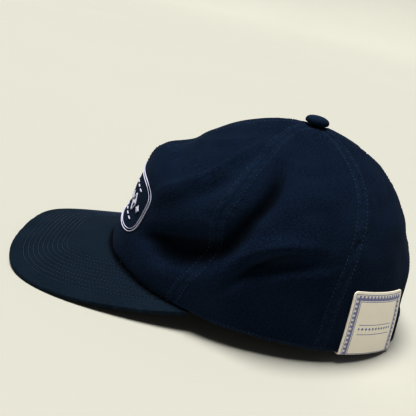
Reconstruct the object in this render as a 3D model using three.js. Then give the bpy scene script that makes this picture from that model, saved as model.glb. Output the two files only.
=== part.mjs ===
// Soft six-panel cap with a flat visor, resting on its own rim.
//
// Frame: millimetres, +Z up, origin on the floor under the middle of the head opening.
// The visor points to -Y, the rear opening faces +Y, and +X is the wearer's left.
//
// The crown is one smooth shell, described by an azimuth (0 at the front, 90 at the
// wearer's left, 180 at the back) and a level (0 at the rim, 1 under the top button).
// Folds push that shell in or out, and every cloth piece is cut from it.

import * as THREE from 'three';

// ---------------------------------------------------------------------------
// Driving dimensions
// ---------------------------------------------------------------------------

const CLOTH = 2.0;             // crown cloth with its seam allowance, wall thickness
const GAP = 0.3;               // clearance between neighbouring pieces
const CROWN_TOP_LEVEL = 0.97;  // panels stop here, under the top button
const RIM_BEND_LEVEL = 0.3;    // up to here the sections bend to the rim's own line
const FOLD_LEVELS = [0.04, 0.2];  // the folds grow to their full depth between these
const FOLD_FALL = 3.0;         // how fast a fold fades across, over its width squared
const FOLD_END_SHARE = 0.25;   // share of a fold's lift that is left at its two ends
const FOLD_STEPS = 10;         // straight steps along a fold's line

// Crown sections from rim to top: where the shell crosses the front seam (y, z), the
// widest point of the side (half width x, y, z) and the back seam (y, z).
const SECTION_COLUMNS = ['level', 'frontY', 'frontZ', 'sideX', 'sideY', 'sideZ', 'backY', 'backZ'];
const CROWN_SECTIONS = [
  [0.0, -108.0,  15.0, 86.0, -2.0,  11.0, 110.5,   0.0],
  [0.1, -103.0,  34.0, 87.5, -2.0,  28.5, 109.0,  16.5],
  [0.2,  -97.5,  51.5, 88.5, -1.5,  45.0, 106.5,  33.0],
  [0.3,  -94.0,  70.0, 88.0, -0.5,  61.5, 103.0,  50.5],
  [0.4,  -88.5,  87.5, 85.0,  1.5,  77.5,  97.0,  66.0],
  [0.5,  -70.0,  97.5, 78.5,  3.5,  92.0,  91.0,  83.0],
  [0.6,  -55.5, 108.5, 67.5,  5.5, 104.5,  80.5,  98.5],
  [0.7,  -39.0, 118.5, 53.0,  8.0, 114.5,  67.0, 112.5],
  [0.8,  -21.5, 126.0, 36.0, 10.0, 122.5,  51.0, 121.5],
  [0.9,   -4.0, 130.5, 18.0, 12.5, 128.5,  33.0, 128.5],
  [1.0,   15.0, 131.0,  0.0, 15.0, 131.0,  15.0, 131.0],
];

// Height of the free rim above the floor, from the visor's corner round to the back.
const RIM_COLUMNS = ['y', 'z'];
const RIM_LINE = [
  [-37.5, 15.3],
  [-32.0, 14.9],
  [-22.0, 13.2],
  [  0.0, 12.2],
  [ 40.0,  9.4],
  [ 80.0,  5.6],
  [ 96.0,  2.4],
  [102.0,  0.4],
  [106.0,  0.0],
  [111.0,  0.0],
];

// Azimuth in degrees of the two side seams at each level, mirrored on the other side.
const SEAM_COLUMNS = ['level', 'frontSeam', 'rearSeam'];
const SEAM_LINES = [
  [0.0, 62.5, 115.0],
  [0.1, 64.0, 115.5],
  [0.2, 67.0, 116.0],
  [0.3, 69.0, 117.5],
  [0.4, 67.5, 120.0],
  [0.5, 66.0, 122.0],
  [0.6, 65.0, 125.0],
  [0.7, 62.5, 127.0],
  [0.8, 57.5, 129.0],
  [0.9, 52.0, 131.0],
  [1.0, 50.0, 132.0],
];

// Soft folds, each along three places (azimuth, level) on the shell. A positive lift is
// a ridge, a negative one a dent, and the width is the distance at which it has faded.
const FOLD_COLUMNS = ['name', 'lift', 'width', 'places'];
const FOLDS = [
  ['front knuckle',        1.6, 12, [[-34, 0.40], [0, 0.425], [34, 0.40]]],
  ['saddle over knuckle', -1.6, 15, [[-24, 0.52], [0, 0.520], [24, 0.52]]],
  ['left front ridge',     5.2, 10, [[38, 0.335], [50, 0.485], [54.5, 0.77]]],
  ['left front hollow',  -10.0, 18, [[42, 0.165], [58, 0.22], [80, 0.325]]],
  ['left seam ridge',      4.4, 12, [[65, 0.39], [63.5, 0.50], [64, 0.64]]],
  ['left temple crease',  -7.0, 10, [[79, 0.72], [80.5, 0.54], [74, 0.32]]],
  ['left temple tuck',    -4.0, 11, [[79, 0.44], [78, 0.37], [73, 0.28]]],
  ['left side ridge',      4.0, 11, [[75, 0.235], [88, 0.355], [107, 0.395]]],
  ['left side crease',    -4.4,  9, [[84, 0.23], [95, 0.30], [111, 0.34]]],
  ['left crown hollow',   -1.8, 24, [[106, 0.82], [105.5, 0.70], [107, 0.58]]],
  ['left side swell',      2.4, 20, [[96, 0.66], [98, 0.58], [101, 0.52]]],
  ['left rear crease',    -1.8, 10, [[157, 0.67], [142, 0.585], [126, 0.47]]],
  ['right front ridge',    2.2, 13, [[-37, 0.34], [-48, 0.50], [-50, 0.72]]],
  ['right front hollow',  -5.0, 22, [[-38, 0.20], [-58, 0.28], [-76, 0.32]]],
  ['right temple crease', -2.6, 11, [[-81, 0.62], [-77, 0.50], [-73, 0.38]]],
  ['right side ridge',     2.8, 13, [[-69, 0.22], [-86, 0.32], [-101, 0.37]]],
  ['right side crease',   -2.4, 12, [[-84, 0.22], [-96, 0.28], [-108, 0.32]]],
  ['right rear crease',   -1.4, 11, [[-155, 0.63], [-141, 0.55], [-128, 0.46]]],
  ['opening lip',          2.2, 15, [[160, 0.30], [180, 0.39], [200, 0.30]]],
];

// Visor
const VISOR_CORNER_Y = -37.5;      // where the visor leaves the rim on each side
const VISOR_CORNER_X = 80.0;
const VISOR_CORNER_Z = 15.1;       // height of its top there
const VISOR_REACH = 135.0;         // from that line to the front edge
const VISOR_HALF_WIDTH = 82.5;
const VISOR_SQUARENESS = 3.4;      // exponent of the outline, 2 being an ellipse
const VISOR_TAPER = 0.024;         // narrowing of the outline back at the corners
const VISOR_TAPER_LENGTH = 40.0;
const VISOR_SLOPE = 0.151;         // fall towards the front edge, mm per mm
const VISOR_ARCH_RADIUS = 205.0;   // gentle curve across the visor
const VISOR_THICKNESS = 2.8;
const VISOR_END_SETBACK = 2.0;     // degrees by which its sewn edge stops short of the corner

// Top button
const BUTTON_RADIUS = 8.2;
const BUTTON_HEIGHT = 6.0;
const BUTTON_Y = 15.0;
const BUTTON_SIDES = 24;
const BUTTON_SEAT = 0.5;           // clearance over the crown's highest point
const BUTTON_LEAN = 0.04;          // leans back with the crown, radians

// Rear opening
const OPENING_HALF_ANGLE = 27.0;   // degrees at the rim
const OPENING_TOP_LEVEL = 0.34;

// Sweatband and rear strap, both inside the rim, and the plain clasp on the strap
const LINING_CLEARANCE = 0.70;     // from the crown's inner face, over its facets
const BAND_TOP_LEVEL = 0.17;
const BAND_THICKNESS = 1.2;
const BAND_HALF_ANGLE = 147.0;
const STRAP_HALF_ANGLE = 31.5;     // reaches past the opening on each side
const STRAP_TOP_LEVEL = 0.125;
const STRAP_THICKNESS = 1.8;
const STRAP_BEND = [14, 24];       // degrees from the back over which it dips inside
const CLASP_AZIMUTH = 188.0;
const CLASP_HALF_ANGLE = 4.6;
const CLASP_LEVELS = [0.012, 0.113];
const CLASP_THICKNESS = 1.6;

// Embroidered badge across the two front panels: a raised frame of thread
const BADGE_LEVEL = 0.23;
const BADGE_HALF_WIDTH = 50.5;
const BADGE_HALF_HEIGHT = 22.5;
const BADGE_SQUARENESS = 5.0;
const BADGE_FLARE = 0.1;           // how much wider it is at the top than in the middle
const BADGE_FRAME = 4.0;
const BADGE_THREAD = 0.8;
const BADGE_STANDOFF = 0.75;       // clears the facets of the panels below
const BADGE_MM_PER_DEGREE = 1.53;  // along the front of the shell, at the badge
const BADGE_MM_PER_LEVEL = 190.0;

// Woven label at the left rear, folded over the rim to the inside
const LABEL_FROM = 122.6;
const LABEL_TO = 152.4;
const LABEL_CLOTH = 0.9;
const LABEL_OUTSIDE = GAP;
const LABEL_INSIDE = -(CLOTH + LINING_CLEARANCE + STRAP_THICKNESS + GAP);
const LABEL_CORNER = 0.12;         // share of its width rounded off at each top corner
const LABEL_CORNER_DROP = 0.022;   // and the level lost there

// Columns and rows of flat facets on each sheet
const FRONT_PANEL_GRID = [14, 21];
const SIDE_PANEL_GRID = [13, 22];
const BACK_PANEL_GRID = [6, 7, 17];  // columns along the rim, columns round the opening, rows
const VISOR_GRID = [40, 6];
const BAND_GRID = [60, 3];
const STRAP_GRID = [24, 2];
const CLASP_GRID = [4, 2];
const BADGE_SIDES = 96;
const LABEL_FACETS = 10;

// The label's way over the rim: level on the shell, how far its lining side stands off
// the shell and drops below the rim, then the same for its face side.
const LABEL_COLUMNS = ['level', 'lining', 'liningDrop', 'face', 'faceDrop'];
const LABEL_PATH = [
  [0.27, LABEL_OUTSIDE, 0.0, LABEL_OUTSIDE + LABEL_CLOTH, 0.0],
  [0.21, LABEL_OUTSIDE, 0.0, LABEL_OUTSIDE + LABEL_CLOTH, 0.0],
  [0.16, LABEL_OUTSIDE, 0.0, LABEL_OUTSIDE + LABEL_CLOTH, 0.0],
  [0.11, LABEL_OUTSIDE, 0.0, LABEL_OUTSIDE + LABEL_CLOTH, 0.0],
  [0.05, LABEL_OUTSIDE, 0.0, LABEL_OUTSIDE + LABEL_CLOTH, 0.0],
  [0.00, LABEL_OUTSIDE, 0.0, LABEL_OUTSIDE + LABEL_CLOTH, 0.0],
  [0.00, LABEL_OUTSIDE, GAP, LABEL_OUTSIDE + LABEL_CLOTH * 0.6, GAP + LABEL_CLOTH],
  [0.00, LABEL_INSIDE, GAP, LABEL_INSIDE - LABEL_CLOTH * 0.6, GAP + LABEL_CLOTH],
  [0.00, LABEL_INSIDE, 0.0, LABEL_INSIDE - LABEL_CLOTH, 0.0],
  [0.05, LABEL_INSIDE, 0.0, LABEL_INSIDE - LABEL_CLOTH, 0.0],
  [0.09, LABEL_INSIDE, 0.0, LABEL_INSIDE - LABEL_CLOTH, 0.0],
];

// ---------------------------------------------------------------------------
// Tables
// ---------------------------------------------------------------------------

/** Row i of a table as an object with the named columns. */
function rowOf(table, columns, i) {
  return Object.fromEntries(columns.map((name, k) => [name, table[i][k]]));
}

/** All columns of a table at a key of its first column, by a smooth curve through the rows. */
function sample(table, columns, key) {
  const last = table.length - 1;
  let i = 0;
  while (i < last - 1 && key > table[i + 1][0]) {
    i += 1;
  }
  const a = table[i];
  const b = table[i + 1];
  const before = table[Math.max(i - 1, 0)];
  const after = table[Math.min(i + 2, last)];
  const span = b[0] - a[0];
  const t = THREE.MathUtils.clamp((key - a[0]) / span, 0, 1);
  const slope = (p, q, k) => (q[k] - p[k]) / (q[0] - p[0]);
  const out = {};
  columns.forEach((name, k) => {
    const m0 = i === 0 ? slope(a, b, k) : slope(before, b, k);
    const m1 = i === last - 1 ? slope(a, b, k) : slope(a, after, k);
    out[name] = (2 * t ** 3 - 3 * t ** 2 + 1) * a[k] + (t ** 3 - 2 * t ** 2 + t) * span * m0
      + (3 * t ** 2 - 2 * t ** 3) * b[k] + (t ** 3 - t ** 2) * span * m1;
  });
  return out;
}

// ---------------------------------------------------------------------------
// The crown shell
// ---------------------------------------------------------------------------

/** Height of the visor's top at a place in plan. */
function visorTop(x, y) {
  const arch = (x * x - VISOR_CORNER_X ** 2) / (2 * VISOR_ARCH_RADIUS);
  return VISOR_CORNER_Z + (y - VISOR_CORNER_Y) * VISOR_SLOPE - arch;
}

/** Height of the crown's lower edge: on the visor in front, and the free rim behind. */
function rimHeight(x, y) {
  if (y >= VISOR_CORNER_Y) {
    return Math.max(0, sample(RIM_LINE, RIM_COLUMNS, y).z);
  }
  const inside = 1 - CLOTH / Math.hypot(x, y);
  return visorTop(x * inside, y * inside) + GAP;
}

/** One section of the shell, an oval that rises or falls towards its front and back. */
function sectionPoint(azimuth, level) {
  const s = sample(CROWN_SECTIONS, SECTION_COLUMNS, level);
  const angle = THREE.MathUtils.degToRad(azimuth);
  const c = Math.cos(angle);
  const reach = c > 0 ? s.sideY - s.frontY : s.backY - s.sideY;
  const rise = (c > 0 ? s.frontZ : s.backZ) - s.sideZ;
  return new THREE.Vector3(s.sideX * Math.sin(angle), s.sideY - reach * c, s.sideZ + rise * c * c);
}

/** The smooth shell: the sections, with the lowest third bent to the rim's own line. */
function smoothPoint(azimuth, level) {
  const point = sectionPoint(azimuth, level);
  const fade = Math.max(0, 1 - level / RIM_BEND_LEVEL) ** 2;
  if (fade > 0) {
    const rim = sectionPoint(azimuth, 0);
    point.z += (rimHeight(rim.x, rim.y) - rim.z) * fade;
  }
  return point;
}

/** Outward unit normal of the smooth shell, turned level at the rim. */
function smoothNormal(azimuth, level) {
  const low = Math.max(level - 0.01, 0.0);
  const high = Math.min(level + 0.01, 0.99);
  const up = smoothPoint(azimuth, high).sub(smoothPoint(azimuth, low));
  const round = smoothPoint(azimuth + 1, level).sub(smoothPoint(azimuth - 1, level));
  const normal = round.cross(up).normalize();
  normal.z *= THREE.MathUtils.smoothstep(level, 0, 0.1);
  return normal.normalize();
}

const foldPaths = Array.from(FOLDS.keys(), (i) => {
  const fold = rowOf(FOLDS, FOLD_COLUMNS, i);
  const curve = new THREE.CatmullRomCurve3(fold.places.map(([a, l]) => smoothPoint(a, l)));
  return { lift: fold.lift, width: fold.width, points: curve.getPoints(FOLD_STEPS) };
});

/** How far the folds push the shell outward at a point of it. */
function foldLift(point) {
  let lift = 0;
  for (const fold of foldPaths) {
    const last = fold.points.length - 1;
    let nearest = Infinity;
    let along = 0;
    fold.points.forEach((place, i) => {
      const distance = place.distanceTo(point);
      if (distance < nearest) {
        nearest = distance;
        along = i / last;
      }
    });
    const across = Math.exp(-FOLD_FALL * (nearest / fold.width) ** 2);
    const ends = THREE.MathUtils.lerp(FOLD_END_SHARE, 1, Math.sin(Math.PI * along));
    lift += fold.lift * across * ends;
  }
  return lift;
}

/** A point of the folded shell, stood off it outward by a distance. */
function shellPoint(azimuth, level, outward = 0) {
  const point = smoothPoint(azimuth, level);
  const calm = THREE.MathUtils.smoothstep(level, ...FOLD_LEVELS);
  return point.addScaledVector(smoothNormal(azimuth, level), foldLift(point) * calm + outward);
}

// ---------------------------------------------------------------------------
// Closed solids from grids of points
// ---------------------------------------------------------------------------

/** Geometry from corner points and faces, turned so that its faces look outward. */
function closedGeometry(points, faces) {
  let volume = 0;
  for (const [a, b, c] of faces) {
    volume += points[a].dot(points[b].clone().cross(points[c]));
  }
  const index = faces.flatMap(([a, b, c]) => (volume > 0 ? [a, b, c] : [a, c, b]));
  const geometry = new THREE.BufferGeometry();
  geometry.setAttribute('position', new THREE.Float32BufferAttribute(points.flatMap((p) => p.toArray()), 3));
  geometry.setIndex(index);
  geometry.computeVertexNormals();
  return geometry;
}

/** A sheet with thickness: two faces of columns by rows points, and the walls between. */
function sheetSolid(columns, rows, pointAt) {
  const points = [];
  for (const face of [0, 1]) {
    for (let i = 0; i <= columns; i += 1) {
      for (let j = 0; j <= rows; j += 1) {
        points.push(pointAt(i / columns, j / rows, face));
      }
    }
  }
  const at = (face, i, j) => (face * (columns + 1) + i) * (rows + 1) + j;
  const faces = [];
  const quad = (a, b, c, d) => faces.push([a, b, c], [a, c, d]);
  for (let i = 0; i < columns; i += 1) {
    for (let j = 0; j < rows; j += 1) {
      quad(at(0, i, j), at(0, i + 1, j), at(0, i + 1, j + 1), at(0, i, j + 1));
      quad(at(1, i, j), at(1, i, j + 1), at(1, i + 1, j + 1), at(1, i + 1, j));
    }
  }
  for (let i = 0; i < columns; i += 1) {
    quad(at(0, i, 0), at(1, i, 0), at(1, i + 1, 0), at(0, i + 1, 0));
    quad(at(0, i, rows), at(0, i + 1, rows), at(1, i + 1, rows), at(1, i, rows));
  }
  for (let j = 0; j < rows; j += 1) {
    quad(at(0, 0, j), at(0, 0, j + 1), at(1, 0, j + 1), at(1, 0, j));
    quad(at(0, columns, j), at(1, columns, j), at(1, columns, j + 1), at(0, columns, j + 1));
  }
  return closedGeometry(points, faces);
}

/** A ring: a closed cross-section carried round a closed path. */
function ringSolid(around, section, pointAt) {
  const points = [];
  for (let i = 0; i < around; i += 1) {
    for (let j = 0; j < section; j += 1) {
      points.push(pointAt(i / around, j));
    }
  }
  const at = (i, j) => (i % around) * section + (j % section);
  const faces = [];
  for (let i = 0; i < around; i += 1) {
    for (let j = 0; j < section; j += 1) {
      faces.push([at(i, j), at(i + 1, j), at(i + 1, j + 1)], [at(i, j), at(i + 1, j + 1), at(i, j + 1)]);
    }
  }
  return closedGeometry(points, faces);
}

// ---------------------------------------------------------------------------
// Crown panels
// ---------------------------------------------------------------------------

/** Azimuth moved sideways by a distance along the shell. */
function besideSeam(azimuth, level, distance) {
  const perDegree = smoothPoint(azimuth + 0.5, level).distanceTo(smoothPoint(azimuth - 0.5, level));
  return azimuth + distance / perDegree;
}

/** Azimuth of a seam (front, frontSeam, rearSeam or back) at a level. */
function seamAzimuth(seam, level) {
  if (seam === 'front') {
    return 0;
  }
  if (seam === 'back') {
    return 180;
  }
  return sample(SEAM_LINES, SEAM_COLUMNS, level)[seam];
}

/** A panel from one seam to the next, on the left (hand 1) or the right (hand -1). */
function panel(fromSeam, toSeam, hand, columns, rows) {
  return sheetSolid(columns, rows, (u, w, face) => {
    const level = w * CROWN_TOP_LEVEL;
    const from = besideSeam(seamAzimuth(fromSeam, level), level, GAP / 2);
    const to = besideSeam(seamAzimuth(toSeam, level), level, -GAP / 2);
    return shellPoint(hand * (from + (to - from) * u), level, face === 0 ? 0 : -CLOTH);
  });
}

/** A back panel, whose lower edge runs along the rim and then up round the opening. */
function backPanel(hand, rimColumns, archColumns, rows) {
  const columns = rimColumns + archColumns;
  const start = seamAzimuth('rearSeam', 0);
  const corner = (180 - OPENING_HALF_ANGLE - start) / (180 - start);
  return sheetSolid(columns, rows, (u, w, face) => {
    const column = Math.round(u * columns);
    const arch = Math.max(0, column - rimColumns) / archColumns * Math.PI / 2;
    const across = column <= rimColumns ? corner * column / rimColumns : 1 - (1 - corner) * Math.cos(arch);
    const lowest = OPENING_TOP_LEVEL * Math.sin(arch);
    const level = lowest + (CROWN_TOP_LEVEL - lowest) * w;
    const from = besideSeam(seamAzimuth('rearSeam', level), level, GAP / 2);
    const to = besideSeam(180, level, -GAP / 2);
    return shellPoint(hand * (from + (to - from) * across), level, face === 0 ? 0 : -CLOTH);
  });
}

// ---------------------------------------------------------------------------
// Visor, button, bands
// ---------------------------------------------------------------------------

/** Azimuth at which the rim reaches the visor's corner. */
function visorCornerAzimuth() {
  const s = rowOf(CROWN_SECTIONS, SECTION_COLUMNS, 0);
  return THREE.MathUtils.radToDeg(Math.acos((s.sideY - VISOR_CORNER_Y) / (s.sideY - s.frontY)));
}

/** The outer edge of the visor in plan; turn runs from -1 at one corner to 1 at the other. */
function visorEdge(turn) {
  const angle = turn * Math.PI / 2;
  const power = 2 / VISOR_SQUARENESS;
  const forward = VISOR_REACH * Math.abs(Math.cos(angle)) ** power;
  const narrowing = 1 - VISOR_TAPER * Math.max(0, 1 - forward / VISOR_TAPER_LENGTH) ** 2;
  const x = VISOR_HALF_WIDTH * Math.sign(turn) * Math.abs(Math.sin(angle)) ** power * narrowing;
  return new THREE.Vector2(x, VISOR_CORNER_Y - forward);
}

/** The visor: from a ledge under the crown's edge out to its own edge. */
function visor(columns, rows) {
  const corner = visorCornerAzimuth() - VISOR_END_SETBACK;
  return sheetSolid(columns, rows, (u, w, face) => {
    const turn = 2 * u - 1;
    const root = shellPoint(turn * corner, 0, -CLOTH);
    const edge = visorEdge(turn);
    const x = THREE.MathUtils.lerp(root.x, edge.x, w);
    const y = THREE.MathUtils.lerp(root.y, edge.y, w);
    return new THREE.Vector3(x, y, visorTop(x, y) - (face === 0 ? 0 : VISOR_THICKNESS));
  });
}

/** The covered button: a low dome with a tucked-in edge. */
function button() {
  const profile = [
    new THREE.Vector2(0, 0),
    new THREE.Vector2(BUTTON_RADIUS * 0.9, 0),
    new THREE.Vector2(BUTTON_RADIUS, BUTTON_HEIGHT * 0.28),
    new THREE.Vector2(BUTTON_RADIUS * 0.93, BUTTON_HEIGHT * 0.6),
    new THREE.Vector2(BUTTON_RADIUS * 0.68, BUTTON_HEIGHT * 0.87),
    new THREE.Vector2(BUTTON_RADIUS * 0.36, BUTTON_HEIGHT * 0.98),
    new THREE.Vector2(0, BUTTON_HEIGHT),
  ];
  const lathe = new THREE.LatheGeometry(profile, BUTTON_SIDES);
  lathe.rotateX(Math.PI / 2 - BUTTON_LEAN);
  const top = rowOf(CROWN_SECTIONS, SECTION_COLUMNS, CROWN_SECTIONS.length - 1);
  lathe.translate(0, BUTTON_Y, top.sideZ + BUTTON_SEAT);
  return lathe;
}

/** A band along the rim between two azimuths and levels; inset is its outer face's depth. */
function rimBand({ from, to, low, high, thickness, inset, grid }) {
  return sheetSolid(...grid, (u, w, face) => {
    const azimuth = THREE.MathUtils.lerp(from, to, u);
    const level = THREE.MathUtils.lerp(low, high, w);
    return shellPoint(azimuth, level, -inset(azimuth) - (face === 0 ? 0 : thickness));
  });
}

/** Depth of the strap's outer face: behind the panels at its ends, flush between them. */
function strapInset(azimuth) {
  const aside = Math.abs(azimuth - 180);
  return GAP + (CLOTH + LINING_CLEARANCE - GAP) * THREE.MathUtils.smoothstep(aside, ...STRAP_BEND);
}

// ---------------------------------------------------------------------------
// Badge and label
// ---------------------------------------------------------------------------

/** The badge's frame: a rounded oblong laid on the front panels. */
function badgeFrame(around) {
  const power = 2 / BADGE_SQUARENESS;
  const rounded = (value) => Math.sign(value) * Math.abs(value) ** power;
  return ringSolid(around, 4, (t, corner) => {
    const angle = t * 2 * Math.PI;
    const inset = corner === 1 || corner === 2 ? BADGE_FRAME : 0;
    const raised = corner === 0 || corner === 1 ? BADGE_THREAD : 0;
    const upward = rounded(Math.sin(angle)) * (BADGE_HALF_HEIGHT - inset);
    const flare = 1 + BADGE_FLARE * upward / BADGE_HALF_HEIGHT;
    const across = rounded(Math.cos(angle)) * (BADGE_HALF_WIDTH - inset) * flare;
    const level = BADGE_LEVEL + upward / BADGE_MM_PER_LEVEL;
    return shellPoint(across / BADGE_MM_PER_DEGREE, level, BADGE_STANDOFF + raised);
  });
}

/** The woven label, folded over the rim. */
function label(columns) {
  const rows = LABEL_PATH.length - 1;
  return sheetSolid(columns, rows, (u, w, face) => {
    const row = Math.round(w * rows);
    const step = rowOf(LABEL_PATH, LABEL_COLUMNS, row);
    const toSide = Math.min(u, 1 - u) / LABEL_CORNER;
    const rounding = row === 0 ? LABEL_CORNER_DROP * Math.max(0, 1 - toSide) ** 2 : 0;
    const standoff = face === 0 ? step.face : step.lining;
    const drop = face === 0 ? step.faceDrop : step.liningDrop;
    const azimuth = THREE.MathUtils.lerp(LABEL_FROM, LABEL_TO, u);
    const point = shellPoint(azimuth, step.level - rounding, standoff);
    point.z -= drop;
    return point;
  });
}

// ---------------------------------------------------------------------------
// Materials and assembly
// ---------------------------------------------------------------------------

const twill = () => new THREE.MeshStandardMaterial({ color: '#1b2738', roughness: 0.9 });
const sweatTwill = () => new THREE.MeshStandardMaterial({ color: '#1d2735', roughness: 0.95 });
const paleThread = () => new THREE.MeshStandardMaterial({ color: '#b9bccb', roughness: 0.6 });
const wovenCream = () => new THREE.MeshStandardMaterial({ color: '#d8cfbb', roughness: 0.8 });
const metal = () => new THREE.MeshStandardMaterial({ color: '#8d8f92', roughness: 0.4, metalness: 1.0 });

const cap = new THREE.Group();

/** Adds a named piece to the cap. */
function add(name, geometry, material) {
  const mesh = new THREE.Mesh(geometry, material);
  mesh.name = name;
  cap.add(mesh);
}

for (const [hand, side] of [[1, 'left'], [-1, 'right']]) {
  add(`front_panel_${side}`, panel('front', 'frontSeam', hand, ...FRONT_PANEL_GRID), twill());
  add(`side_panel_${side}`, panel('frontSeam', 'rearSeam', hand, ...SIDE_PANEL_GRID), twill());
  add(`back_panel_${side}`, backPanel(hand, ...BACK_PANEL_GRID), twill());
}
add('visor', visor(...VISOR_GRID), twill());
add('top_button', button(), twill());
add('sweatband', rimBand({
  from: -BAND_HALF_ANGLE,
  to: BAND_HALF_ANGLE,
  low: 0,
  high: BAND_TOP_LEVEL,
  thickness: BAND_THICKNESS,
  inset: () => CLOTH + LINING_CLEARANCE,
  grid: BAND_GRID,
}), sweatTwill());
add('rear_strap', rimBand({
  from: 180 - STRAP_HALF_ANGLE,
  to: 180 + STRAP_HALF_ANGLE,
  low: 0,
  high: STRAP_TOP_LEVEL,
  thickness: STRAP_THICKNESS,
  inset: strapInset,
  grid: STRAP_GRID,
}), twill());
add('strap_clasp', rimBand({
  from: CLASP_AZIMUTH - CLASP_HALF_ANGLE,
  to: CLASP_AZIMUTH + CLASP_HALF_ANGLE,
  low: CLASP_LEVELS[0],
  high: CLASP_LEVELS[1],
  thickness: CLASP_THICKNESS,
  inset: (azimuth) => strapInset(azimuth) - GAP - CLASP_THICKNESS,
  grid: CLASP_GRID,
}), metal());
add('badge_frame', badgeFrame(BADGE_SIDES), paleThread());
add('woven_label', label(LABEL_FACETS), wovenCream());

export default cap;
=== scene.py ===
"""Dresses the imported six-panel cap in cloth, thread and metal, and sets the studio round it.

The cap rests on its own rim. Sizes are millimetres until a mesh is made. The crown is
described by an azimuth in degrees (0 at the front, 90 at the wearer's left, 180 at the
back) and a level (0 at the rim, 1 under the top button). A hand is 1 on the wearer's left
and -1 on the right.
"""

import logging
import math
from dataclasses import dataclass
from enum import Enum
from functools import cached_property
from typing import Any

import bpy
import numpy as np
from mathutils import Matrix, Vector


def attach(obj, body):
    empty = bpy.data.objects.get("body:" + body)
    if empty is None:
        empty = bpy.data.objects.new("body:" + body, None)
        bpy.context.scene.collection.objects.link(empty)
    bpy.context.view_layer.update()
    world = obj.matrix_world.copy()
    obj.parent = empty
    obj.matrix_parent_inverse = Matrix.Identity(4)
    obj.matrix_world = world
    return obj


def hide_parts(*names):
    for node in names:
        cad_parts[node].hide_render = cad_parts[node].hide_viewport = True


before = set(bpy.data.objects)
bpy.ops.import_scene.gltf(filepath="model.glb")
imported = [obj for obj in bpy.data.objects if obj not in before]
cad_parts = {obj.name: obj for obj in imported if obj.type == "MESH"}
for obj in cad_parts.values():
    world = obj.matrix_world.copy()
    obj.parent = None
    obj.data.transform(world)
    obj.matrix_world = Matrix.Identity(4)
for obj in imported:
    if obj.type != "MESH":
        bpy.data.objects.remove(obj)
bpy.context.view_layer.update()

Array = np.ndarray
Line = tuple[Array, Array]  # points along a line and outward normals there
Material = bpy.types.Material
Piece = bpy.types.Object
Tree = bpy.types.NodeTree
Socket = bpy.types.NodeSocket
Inputs = dict[str | int, Any]
Place = tuple[float, float]
LOG = logging.getLogger("cap")
MM = 0.001
WAVE = 2 * math.pi / 20  # scale of a wave texture that repeats once a millimetre
NUDGE = 0.01  # of a level, each way, to measure a slope of the shell
CLOTH_UV = "cloth_mm"


# ---- Numbers, curves and meshes ----


def smoothstep(value: Array, low: float, high: float) -> Array:
    """Rises from 0 at low to 1 at high: 3t^2 - 2t^3, where t is the share of the way."""
    t = np.clip((np.asarray(value, float) - low) / (high - low), 0, 1)
    return t * t * (3 - 2 * t)


def bell(value: Array, middle: float, width: float) -> Array:
    """A bell of height 1 round middle: exp(-((value - middle) / width)^2)."""
    return np.exp(-(((value - middle) / width) ** 2))


def mix(a: Array, b: Array, share: Array) -> Array:
    """The weighted mean of a and b: a where share is 0 and b where it is 1."""
    return a + (b - a) * share


def unit(vectors: Array) -> Array:
    """Vectors divided by their own lengths."""
    return vectors / np.maximum(np.linalg.norm(vectors, axis=-1, keepdims=True), 1e-12)


def run_along(path: Array) -> Array:
    """Distance along a path to each of its points: the running sum of its steps."""
    return np.concatenate([[0], np.cumsum(np.linalg.norm(np.diff(path, axis=0), axis=1))])


def follow(path: Array, run: Array, where: Array) -> Array:
    """Points of a path at given distances along it, on straight lines between its own."""
    return np.stack([np.interp(where, run, column) for column in path.T], -1)


def unevenness(a: Array, b: Array, period: float, seed: int) -> Array:
    """A smooth random field: seven sines in seeded directions, of 0.7 to 1.3 of the period.

    Args:
        a: first coordinate, millimetres.
        b: second coordinate, millimetres.
        period: middle wavelength, millimetres.
        seed: which field of the many.

    Returns:
        Heights of mostly -1 to 1.
    """
    total = np.zeros(np.broadcast(a, b).shape)
    for turn, phase, stretch in np.random.default_rng(seed).random((7, 3)):
        wave = 2 * np.pi / (period * (0.7 + 0.6 * stretch))
        turn, phase = 2 * np.pi * turn, 2 * np.pi * phase
        total = total + np.sin(wave * (a * np.cos(turn) + b * np.sin(turn)) + phase)
    return total / 3.5


@dataclass(frozen=True)
class SmoothTable:
    """Rows of numbers read as smooth curves of their first column."""

    rows: tuple[tuple[float, ...], ...]

    def at(self, key: Array) -> Array:
        """Every other column at a key, by cubic Hermite pieces with mean slopes at the rows.

        Args:
            key: values of the first column, of any shape.

        Returns:
            An array of the key's shape with one more axis, one entry a column.
        """
        table = np.array(self.rows, float)
        keys, values = table[:, 0], table[:, 1:]
        slopes = np.empty_like(values)
        slopes[1:-1] = (values[2:] - values[:-2]) / (keys[2:] - keys[:-2])[:, None]
        slopes[0] = (values[1] - values[0]) / (keys[1] - keys[0])
        slopes[-1] = (values[-1] - values[-2]) / (keys[-1] - keys[-2])
        key = np.clip(np.asarray(key, float), keys[0], keys[-1])
        i = np.clip(np.searchsorted(keys, key) - 1, 0, len(keys) - 2)
        span = (keys[i + 1] - keys[i])[..., None]
        t = (key - keys[i])[..., None] / span
        return (
            (2 * t**3 - 3 * t**2 + 1) * values[i]
            + (t**3 - 2 * t**2 + t) * span * slopes[i]
            + (3 * t**2 - 2 * t**3) * values[i + 1]
            + (t**3 - t**2) * span * slopes[i + 1]
        )


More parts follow.
